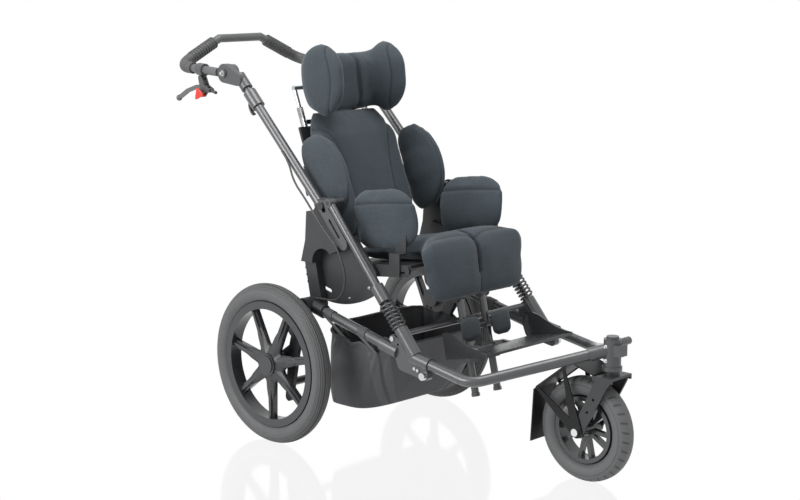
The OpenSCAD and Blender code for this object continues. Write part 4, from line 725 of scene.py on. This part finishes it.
seat_pad = pad("seat_pad", shells("seat_cushion")[0], pressure=1.0, cap=0.003, shape=square_front, iron=1, soft=2)
x = 1000 * places(seat_pad)[:, 0]
run = seat_run(places(seat_pad))
facing = directions(seat_pad)
outer = np.clip((facing @ SEAT_UP + facing @ SEAT_FORWARD) * 3, 0, 1)
roll = np.abs(run - 272 - 6 * np.exp(-(x / 30) ** 2))
slit = to_line(np.c_[x, run], np.array([(0, 252), (0, 338)]))
fall = to_line(np.c_[x, run], np.array([(0, 338), (0, 420)]))
# The roll seam, the slit and the seam down the flap are pressed in and darkened with painted shade, the slit most
sew(seat_pad, outer * (0.0022 * groove(roll, 5) + 0.015 * groove(slit, 4.5) + 0.0018 * groove(fall, 4)),
    outer * np.maximum.reduce([groove(roll, 2.2), 1.8 * groove(slit, 3.2), groove(fall, 2.2)]))
done(seat_pad, "seat", "seat_fabric", "seat_cushion", fill=0.8)

# %% [markdown]
# ## Hip and side pads
# Each pad sits on a flat bar. The hip pads have a band along the top, and the deep side pads have a gusset between
# two seams round their rim. The bars and rods stay as the CAD shells.

# %% Hip and side pads
def bar_piece(name, shell, body, slot):
    """A hard shell of a CAD node kept as it is, with crisp edges."""
    dress(new_piece(name, *shell, slot, smooth=False), body)


HIP_LONG, HIP_TALL = 109, 76
SIDE_MID, SIDE_OUT, SIDE_PLANE = 182, 105, 171.25
for side, sign in SIDES:
    middle = at(sign * 148, -256, 571)

    def shield(co):
        """A domed top, a narrower lower front corner, and an outer face that swells over the bar."""
        f, u, n = along(co, middle, SEAT_FORWARD, SEAT_UP, (sign, 0, 0))
        end = np.clip(np.abs(f) / HIP_LONG, 0, 1)
        rise = np.where(u > 0, u / HIP_TALL * (11 - 30 * end ** 2.6), 7 * u / HIP_TALL)
        reach = f / HIP_LONG * np.where(f > 0, 7 - 22 * ease(-u, 5, HIP_TALL), 5)
        swell = 9 * ease(n, 0, 14) * (1 - 0.6 * end ** 3) + 12 * ease(u, -40, HIP_TALL)
        return moved(co, (rise, SEAT_UP), (reach, SEAT_FORWARD), (swell, (sign, 0, 0)))

    foam, bar = shells("hip_pad_" + side)[:2]
    hip = pad("hip_cover_" + side, foam, shape=shield)
    f, u = along(places(hip), middle, SEAT_FORWARD, SEAT_UP)
    band = np.abs(u - 42 + 0.0004 * f ** 2)
    # The band seam is pressed in and darkened with painted shade
    sew(hip, 0.0022 * groove(band, 5), groove(band, 2.0))
    bar_piece("hip_bar_" + side, bar, "hip_" + side, "dark_plastic")
    done(hip, "hip_" + side, "seat_fabric", "hip_pad_" + side, fill=0.85)

    def full_side(co):
        """The pad's upper and front edges bulge, and its inner face swells towards the back cushion."""
        n, s, o = along(co, RECLINE, (sign, 0, 0), BACK_UP, BACK_OUT)
        grow = np.where(o > SIDE_OUT, 0.14, 0.42) * (o - SIDE_OUT)
        waist = ease(-np.abs(s - SIDE_MID), -48, -26) * ease(o, 52, 66) * ease(-o, -140, -122)
        swell = (4 * ease(o, 70, 110) + 5 * waist) * ease(-n, -171, -160)
        return moved(co, (0.07 * np.maximum(s - SIDE_MID, 0), BACK_UP), (grow, BACK_OUT), (-swell, (sign, 0, 0)))

    foam, bar = shells("side_pad_" + side)[:2]
    trunk = pad("side_cover_" + side, foam, shape=full_side)
    n, = along(places(trunk), RECLINE, ACROSS)
    rim = np.abs(np.abs(n - sign * SIDE_PLANE) - 9)
    edge = 1 - np.abs(directions(trunk)[:, 0])
    # The two rim seams are pressed in and darkened with painted shade
    sew(trunk, 0.0012 * groove(rim, 3) * edge, groove(rim, 1.6) * np.clip(edge * 2, 0, 1))
    bar_piece("side_bar_" + side, bar, "side_" + side, "dark_plastic")
    done(trunk, "side_" + side, "seat_fabric", "side_pad_" + side, fill=0.85)

# %% [markdown]
# ## Headrest
# The headrest is a middle cushion between two thick round ears that stand forward. A deep crease parts each ear from
# the middle, and the ears' covers have a seam along their front rim.

# %% Headrest
HEAD_RAKE = radians(6)
HEAD_UP = (0, sin(HEAD_RAKE), cos(HEAD_RAKE))
HEAD_OUT = (0, -cos(HEAD_RAKE), sin(HEAD_RAKE))
HEAD = at(0, 72, 884)
HEAD_FLAT, HEAD_BEND, HEAD_HALF = 46, 60, 95
HEAD_REST = 0.8058


def head_run(co):
    """How far each point lies round the headrest from its middle."""
    x, o = along(co, HEAD, ACROSS, HEAD_OUT)
    turn = np.clip(np.arctan2(np.abs(x) - HEAD_FLAT, HEAD_BEND - o), 0, pi / 2)
    run = np.where(np.abs(x) < HEAD_FLAT, np.abs(x), HEAD_FLAT + HEAD_BEND * turn)
    return np.where(o > HEAD_BEND, HEAD_FLAT + HEAD_BEND * pi / 2 + o - HEAD_BEND, run)


def full_cheeks(co):
    """The ears swell all round: outwards beside the posts, inwards to the narrow middle, and down in front."""
    x, v, o = along(co, HEAD, ACROSS, HEAD_UP, HEAD_OUT)
    run, beside = head_run(co), np.abs(x)
    outward = 16 * groove(run - 120, 55) * ease(v, -60, -10) * ease(beside, 96, 126)
    inward = 11 * groove(run - 135, 60) * ease(-beside, -106, -80) * ease(beside, 30, 60)
    forward = 13 * ease(beside, 22, 52) * ease(o, 0, 26) * ease(-run, -150, -100)
    down = np.clip(-v / HEAD_HALF, 0, 1) * (34 - 16 * ease(run, 60, 110))
    tall = 6 * np.clip(v / HEAD_HALF, 0, 1) * ease(run, 90, 130)
    return moved(co, ((outward - inward) * np.sign(x), ACROSS), (forward, HEAD_OUT), (tall - down, HEAD_UP))


foam, yoke = shells("headrest")[:2]
head_pad = pad("head_pad", foam, shape=full_cheeks, iron=36)
high = places(head_pad)
behind = ease(high[:, 1], at(0, 8, 0).y, at(0, 16, 0).y)
rest = HEAD_REST - 0.3 * np.clip(high[:, 1] - at(0, 44, 0).y, 0, 0.03)
high[:, 2] = np.maximum(high[:, 2], (rest - 0.15 * np.clip(rest - high[:, 2], 0, 0.012)) * behind)
put(head_pad, high)
run = head_run(places(head_pad))
x, v = along(places(head_pad), HEAD, ACROSS, HEAD_UP)
facing = directions(head_pad)
inner = np.clip((facing @ np.array(HEAD_OUT) - np.sign(x) * facing[:, 0] + 0.2) * 3, 0, 1)
crease, piping = np.abs(run - 42 - 0.0012 * v ** 2), np.abs(run - 196 + 0.0035 * v ** 2)
# The crease is pressed in and darkened with painted shade on the faces that turn forward or inwards; the piping is
# pressed in and darkened with painted shade too
sew(head_pad, 0.008 * groove(crease, 9) * inner + 0.0016 * groove(piping, 5),
    np.maximum(groove(crease, 3.5) * inner, groove(piping, 2.0)))
bar_piece("head_yoke", yoke, "head", "steel")
done(head_pad, "head", "seat_fabric", "headrest", fill=0.85)

# %% [markdown]
# ## Calf pads
# Two small pads behind the child's calves have a coarser and darker cover.

# %% Calf pads
for number, foam in enumerate(shells("calf_pads")[:2]):
    calf = pad(f"calf_cover_{number}", foam, cap=0.004, cover="calf_cover")
    done(calf, "leg_rest", "seat_fabric", "calf_pads", fill=0.85)

# %% [markdown]
# ## Basket
# The basket is sewn from thin nylon: two long walls, a sloping front and a flat floor. It hangs from a bound hem, so
# the hem dips between the straps and the walls belly out and crease. The straps go round the side tubes.

# %% Basket
# Each level gives Y, Z and the half width at its rear end and at its front end
RIM, FLOOR = np.array([(-60, 285, 182), (-288, 262, 206)]), np.array([(-62, 96, 182), (-216, 97, 180)])
LOOP, WALL_ROWS, FLOOR_RINGS = 200, 34, 8
RIM_POWER, FLOOR_POWER = 0.42, 0.5
CLOTH_THICK, HEM_TUBE = 0.0016, 0.0034
BASKET_HALF, BASKET_MID, BASKET_REACH = 190, -165, 120
HEM_REAR, HEM_FRONT = -66, -288
CORNER_SHARES = (0.14, 0.36, 0.64, 0.86)
STRAP_PLACES = (-262, -148)


def loop_at(level, share, power):
    """A point of a rounded outline, from the rear middle round by the far side, at a share of the way round."""
    c, s = cos(tau * share), sin(tau * share)
    ahead = (1 - copysign(abs(c) ** power, c)) / 2
    y, z, half = level[0] + (level[1] - level[0]) * ahead
    return np.array([half * copysign(abs(s) ** power, s), y, z])


def cloth_creases(share, drop):
    """Folds of the hanging cloth: gathers below the hem and slack folds near the corners."""
    gathers = 1.6 * sin(tau * 23 * share + 2.1 * sin(tau * 3 * share)) * (1 - drop) ** 2
    slack = 3.2 * sin(tau * 9 * share + 4 * drop) * sin(pi * drop)
    corner = sum(exp(-((share - k) / 0.028) ** 2) for k in CORNER_SHARES)
    return gathers + slack * 0.6 - 5 * corner * sin(pi * drop) ** 0.8


def pull_folds(ahead, below):
    """Folds that spread down from a strap, which pulls the hem up."""
    reach = hypot(ahead, below) + 1
    return 3.4 * cos(7 * atan2(ahead, below + 4)) * exp(-reach / 85) * (1 - exp(-reach / 14))


corners = []
for drop in np.linspace(0, 1, WALL_ROWS):
    for share in np.arange(LOOP) / LOOP:
        top, low = loop_at(RIM, share, RIM_POWER), loop_at(FLOOR, share, FLOOR_POWER)
        side_on = abs(sin(tau * share))
        ahead = min(max((top[1] - HEM_FRONT) / (HEM_REAR - HEM_FRONT), 0), 1)
        dip = 14 * side_on ** 3 * sin(3 * pi * ahead) ** 2 * (1 - drop) ** 2
        place = top * (1 - drop) + low * drop
        out = np.array([place[0] / BASKET_HALF, (place[1] - BASKET_MID) / BASKET_REACH, 0])
        out /= max(np.linalg.norm(out), 1e-9)
        belly = 9 * sin(pi * drop ** 1.4)
        pull = side_on ** 2 * sum(pull_folds(place[1] - y, 170 * drop) for y in STRAP_PLACES)
        place = place + out * (belly + cloth_creases(share, drop) + pull) - np.array([0, 0, dip])
        corners.append(at(*place))
floor_edge = 1000 * np.array(corners[-LOOP:])
floor_middle = np.array([0, -140 + AXLE_Y, 96.5])
for ring in range(1, FLOOR_RINGS + 1):
    shrink = 1 - ring / FLOOR_RINGS
    for k, edge in enumerate(floor_edge):
        place = floor_middle + (edge - floor_middle) * shrink
        place[2] -= 4 * (1 - shrink ** 2) * (1 + 0.3 * sin(k * 0.31 + ring))
        corners.append(Vector(place / 1000))
basket = new_piece("basket_cloth", corners, ring_faces(len(corners) // LOOP, LOOP, inward=True), "basket_cloth")
basket_area = face_out(basket, merge=0.0004)
skin = basket.modifiers.new("skin", "SOLIDIFY")
skin.thickness, skin.offset = CLOTH_THICK, 0
settle(basket)
x, y = along(places(basket), at(0, 0, 0), ACROSS, (0, 1, 0))
share_round = np.arctan2(x / BASKET_HALF, (y - BASKET_MID) / -BASKET_REACH) / tau
sew_line = np.minimum.reduce([np.abs(np.abs(share_round) - k) * 1100 for k in CORNER_SHARES[:2]])
# The corner seams only get colour, without moving the cloth: a dark line of painted shade and a lighter band of painted
# highlight beside it
sew(basket, np.zeros(len(x)), 0.8 * groove(sew_line, 3) - 0.7 * ease(-np.abs(sew_line - 15), -12, -9))
done(basket, "chassis", "basket_cloth", "basket")

hem_line = np.array(corners[:LOOP + 1])
hem_line[-1] = hem_line[0]
hem = new_piece("basket_hem", *tube_mesh(hem_line, HEM_TUBE, 8), "basket_cloth")
done(hem, "chassis", "basket_cloth")

TUBE_X, TUBE_Y, TUBE_Z, TUBE_SLOPE = 232, -369.2, 281.8, 0.2332
TUBE_ROUND, HEM_ROUND, STRAP_HALF, STRAP_THICK = 13.2, 4.2, 12, 1.3
HEM_REAR_END, HEM_CHANGE = np.array([176, 281]), np.array([26, -23])


def circle(middle, radius, count):
    return [middle + radius * np.array([cos(a), sin(a)]) for a in np.linspace(0, tau, count)]


def strap_loop(name, y, sign):
    """A webbing loop from the hem round the side tube."""
    ahead = (HEM_REAR - y) / (HEM_REAR - HEM_FRONT)
    tube = np.array([sign * TUBE_X, TUBE_Z + TUBE_SLOPE * (y - TUBE_Y)])
    rim = (HEM_REAR_END + ahead * HEM_CHANGE) * (sign, 1)
    work = bmesh.new()
    points = [work.verts.new((*spot, 0)) for spot in circle(tube, TUBE_ROUND, 48) + circle(rim, HEM_ROUND, 24)]
    hull = bmesh.ops.convex_hull(work, input=points)["geom"]
    around = {v for v in hull if isinstance(v, bmesh.types.BMVert)}
    middle = (tube + rim) / 2
    order = sorted((atan2(v.co.y - middle[1], v.co.x - middle[0]), v.co.x, v.co.y) for v in around)
    work.free()
    line = np.array([spot for _, *spot in order])
    out = line - middle
    out = STRAP_THICK * out / np.linalg.norm(out, axis=1, keepdims=True)
    corners, n = [], len(line)
    for grow, edge in ((0, -STRAP_HALF), (0, STRAP_HALF), (1, STRAP_HALF), (1, -STRAP_HALF)):
        corners += [at(x, y + edge, z + TUBE_SLOPE * edge) for x, z in line + out * grow]
    strap = new_piece(name, corners, ring_faces(4, n, closed=True), "basket_cloth", smooth=False)
    dress(strap, "chassis")
    return strap


straps = [strap_loop(f"basket_strap_{n}", y, sign) for n, (y, sign) in
          enumerate((y, sign) for _, sign in SIDES for y in STRAP_PLACES)]
print("basket cloth", round(basket_area, 3), "m2")

# %% [markdown]
# ## Springs
# A node tree winds each spring round its strut: a spiral, a round wire and the finish. The spring rides on the
# strut.

# %% Springs
def wire_spiral(name, turns, radius, length, wire, material):
    """A node tree that sweeps a round wire along a spiral."""
    tree, add, out = geometry_tree(name)
    spiral = add("CurveSpiral", Resolution=28, Rotations=turns, Start_Radius=radius, End_Radius=radius, Height=length)
    ring, sweep = add("CurvePrimitiveCircle", Resolution=12, Radius=wire / 2), add("CurveToMesh", Fill_Caps=True)
    connect(tree, (spiral.outputs[0], sweep.inputs["Curve"]), (ring.outputs[0], sweep.inputs["Profile Curve"]))
    chain(tree, sweep, add("SetMaterial", Material=material), add("RealizeInstances"), out)
    return tree


def grown(name, tree, finish):
    """A piece that a node tree draws."""
    piece = new_piece(name, [(0, 0, 0)], [], finish)
    piece.modifiers.new("nodes", "NODES").node_group = tree
    settle(piece)
    return piece


STRUT_DOWN = Vector((0, -0.65200, -0.75822)).normalized()
COLLAR_END, SPRING_LEN, WIRE = 283.75, 74, 5
winding = wire_spiral("spring_winding", turns=7, radius=0.0165, length=(SPRING_LEN - WIRE) / 1000, wire=WIRE / 1000,
                      material=FINISH["spring"])
for side, sign in SIDES:
    spring = grown("coil_" + side, winding, "spring")
    top = at(sign * 232, -147, 608)
    start = top + STRUT_DOWN * (COLLAR_END + WIRE / 2) / 1000
    spring.data.transform(Matrix.Translation(start) @ STRUT_DOWN.to_track_quat("Z", "X").to_matrix().to_4x4())
    done(spring, "strut_unit_" + side, "steel", "spring_" + side)
    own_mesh(spring)

# %% [markdown]
# ## Bright uprights
# The two tubes behind the backrest are chromed, with a row of index holes. One node tree draws both: a round tube
# and dark dots, painted shade that stands for the inside of the holes, repeated along it.

# %% Bright uprights
def dotted_tube(name, radius, steps, gap, dot_radius, tube_paint, hole_shade_paint):
    """A node tree that draws a tube and a row of dots along its rear, painted shade for the inside of the index holes.
    """
    tree, add, out = geometry_tree(name)
    tube = add("MeshCylinder", Vertices=32, Radius=radius, Depth=gap * steps)
    centre = add("Transform", Translation=(0, 0, gap * steps / 2))
    dot = add("MeshCylinder", Vertices=16, Radius=dot_radius, Depth=0.0006)
    turn = add("Transform", Rotation=(pi / 2, 0, 0), Translation=(0, -radius, 0))
    row = add("MeshLine", Count=steps - 1, Start_Location=(0, 0, gap), Offset=(0, 0, gap))
    copies, both = add("InstanceOnPoints"), add("JoinGeometry")
    paints = [add("SetMaterial", Material=paint) for paint in (tube_paint, hole_shade_paint)]
    chain(tree, tube, centre, paints[0], both)
    chain(tree, dot, turn)
    connect(tree, (turn.outputs[0], copies.inputs["Instance"]), (row.outputs[0], copies.inputs["Points"]))
    chain(tree, copies, add("RealizeInstances"), paints[1], both, out)
    return tree


UPRIGHT_X, UPRIGHT_FOOT = 112, 0.062
# The dots are painted shade for the inside of the index holes
upright_tree = dotted_tube("upright_tube", radius=0.0083, steps=26, gap=0.0125, dot_radius=0.0022,
                           tube_paint=FINISH["steel"], hole_shade_paint=FINISH["dark_plastic"])
for side, sign in SIDES:
    upright = grown("upright_" + side, upright_tree, "steel")
    foot = at(sign * UPRIGHT_X, -49, 450) + Vector(BACK_UP) * UPRIGHT_FOOT
    turned = Matrix((ACROSS, tuple(-Vector(BACK_OUT)), BACK_UP)).transposed().to_4x4()
    upright.data.transform(Matrix.Translation(foot) @ turned)
    for face in upright.data.polygons:
        face.use_smooth = len(face.vertices) == 4
    dress(upright, "back")

# %% [markdown]
# ## Screws
# One node tree sets a hexagon screw with a washer on every point that it is given. Rays find the outer face of the
# part behind each point, so no screw floats.

# %% Screws
def screw_tree(name, material):
    """Sets a screw on each point; its own sizes are in shares of the screw's radius."""
    tree, add, out = geometry_tree(name)
    size = tree.interface.new_socket("Radius", in_out="INPUT", socket_type="NodeSocketFloat")
    given = tree.nodes.new("NodeGroupInput")
    head = add("MeshCylinder", Vertices=6, Radius=0.8, Depth=0.9)
    washer = add("MeshCylinder", Vertices=24, Radius=1.15, Depth=0.25)
    lift, seat = add("Transform", Translation=(0, 0, 0.6)), add("Transform", Translation=(0, 0, 0.05))
    both, turned = add("JoinGeometry"), add("Transform", Rotation=(0, pi / 2, 0))
    copies, facing = add("InstanceOnPoints"), add("InputNamedAttribute", Name="facing")
    spin = tree.nodes.new("ShaderNodeCombineXYZ")
    calc = arithmetic(tree)
    angle = calc("MULTIPLY", calc("SUBTRACT", 1.0, facing.outputs["Attribute"]), pi / 2)
    chain(tree, head, lift, both, turned)
    chain(tree, washer, seat, both)
    connect(tree, (turned.outputs[0], copies.inputs["Instance"]), (given.outputs["Geometry"], copies.inputs["Points"]),
            (angle, spin.inputs["Z"]), (spin.outputs[0], copies.inputs["Rotation"]),
            (given.outputs["Radius"], copies.inputs["Scale"]))
    chain(tree, copies, add("RealizeInstances"), add("SetMaterial", Material=material), out)
    return tree, size.identifier


SCREWS, RADIUS = screw_tree("hexagon_screws", FINISH["steel"])
RAY_START = 400
PLATE_SPOTS = [(-240, 408), (-172, 373), (-60, 380), (-66, 440)]


def screws(name, body, node, spots, radius):
    """Screws on a node's outer faces: each spot gives Y, Z and the side that it faces."""
    points = []
    for y, z, sign in spots:
        hit, place, *_ = NODES[node].ray_cast(at(sign * RAY_START, y, z), Vector((-sign, 0, 0)))
        if not hit:
            raise RuntimeError(f"{name}: no face behind {y}, {z}")
        points.append(place)
    piece = new_piece(name, points, [], "steel")
    facing = piece.data.attributes.new("facing", "FLOAT", "POINT")
    facing.data.foreach_set("value", [float(sign) for *_, sign in spots])
    made = piece.modifiers.new("screws", "NODES")
    made.node_group = SCREWS
    made[RADIUS] = radius
    settle(piece)
    dress(piece, body)


for side, sign in SIDES:
    screws("plate_screws_" + side, "upper_frame", "tilt_plate_" + side,
           [(y, z, sign) for y, z in PLATE_SPOTS], radius=0.0032)
    screws("joint_screw_" + side, "button_" + side, "angle_button_" + side, [(244, 899, sign)], radius=0.0062)
screws("head_screws", "chassis", "head_block", [(-812, 296, -1), (-812, 328, -1)], radius=0.0042)

# %% [markdown]
# ## Collar clamps
# A flat lever under each push collar clamps the inner tube. Its line is drawn in the tube's own plane: how far up the
# tube, and how far below its axis.

# %% Collar clamps
PUSH_START, PUSH_WAY = np.array([-88, 598]), np.array([0.702153, 0.712026])
PUSH_UNDER = np.array([0.712026, -0.702153])
CLAMP_RUN = [(340, 12), (338, 19), (332, 24), (324, 27), (316, 28.5), (310, 27)]
CLAMP_X, CLAMP_ROUND, CLAMP_WIDEN = 210, 0.0034, 1.9
for side, sign in SIDES:
    run_points = [PUSH_START + d * PUSH_WAY + r * PUSH_UNDER for d, r in CLAMP_RUN]
    clamp_line = np.array([at(sign * CLAMP_X, *spot) for spot in smooth_path(run_points, 4)])
    corners, faces = tube_mesh(clamp_line, CLAMP_ROUND, 12)
    middle = sign * CLAMP_X / 1000
    corners = [(middle + CLAMP_WIDEN * (x - middle), y, z) for x, y, z in corners]
    done(new_piece("collar_clamp_" + side, corners, faces, "mid_plastic"), "push_bar", "dark_plastic")

# %% [markdown]
# ## Hub stars
# The rear spokes flare into a star round the hub. Rings of corners grow from a hole round the axle to the star's
# outline and close behind it.

# %% Hub stars
SPOKES, STAR_STEPS, STAR_RINGS = 7, 168, 9
STAR_HOLE, STAR_WAIST, STAR_ARM = 24, 22, 52
STAR_EDGE, STAR_DOME, STAR_ROLL = 8.5, 9, 1.5
for side, sign in SIDES:
    corners, rings = [], STAR_RINGS + 3
    for ring in range(rings):
        share = min(ring / STAR_RINGS, 1) if ring < STAR_RINGS + 2 else 0
        face = STAR_EDGE + STAR_DOME * (1 - share) ** 1.6 - STAR_ROLL * share ** 8
        rise = face if ring <= STAR_RINGS else 0
        for turn in tau * np.arange(STAR_STEPS) / STAR_STEPS:
            arm = (0.5 + 0.5 * cos(SPOKES * turn)) ** 1.5
            reach = STAR_HOLE + (STAR_WAIST + STAR_ARM * arm) * share
            height = REAR_HUB[2] - reach * cos(turn)
            corners.append(at(sign * (REAR_HUB[0] + rise), reach * sin(turn), height))
    faces = ring_faces(rings, STAR_STEPS, closed=True, inward=True)
    star = new_piece("hub_star_" + side, corners, faces, "dark_plastic")
    face_out(star)
    done(star, "rear_wheel_" + side, "grey_plastic")

# %% [markdown]
# ## Brake lock
# The red brake lock has a three-cornered thumb plate outside the bracket, with rounded corners.

# %% Brake lock
LOCK_SHAPE, LOCK_ROUND, LOCK_FACES = [(347, 853), (330, 841), (353, 831)], 4.0, (-226.6, -231.2)
outline = []
for k, corner in enumerate(LOCK_SHAPE):
    before, after = LOCK_SHAPE[k - 1], LOCK_SHAPE[(k + 1) % 3]
    first = atan2(corner[0] - before[0], -(corner[1] - before[1]))
    second = atan2(after[0] - corner[0], -(after[1] - corner[1]))
    turn = (second - first + pi) % tau - pi
    for a in first + turn * np.linspace(0, 1, 7):
        outline.append((corner[0] - LOCK_ROUND * cos(a), corner[1] - LOCK_ROUND * sin(a)))
n = len(outline)
corners = [at(x, y, z) for x in LOCK_FACES for y, z in outline]
faces = [tuple(range(n)), tuple(range(2 * n - 1, n - 1, -1)), *ring_faces(2, n, inward=True)]
lock = new_piece("brake_lock_plate", corners, faces, "red_plastic", smooth=False)
rounding = lock.modifiers.new("rounding", "BEVEL")
rounding.width, rounding.segments = 0.0012, 2
face_out(lock)
settle(lock)
dress(lock, "lever_lock")
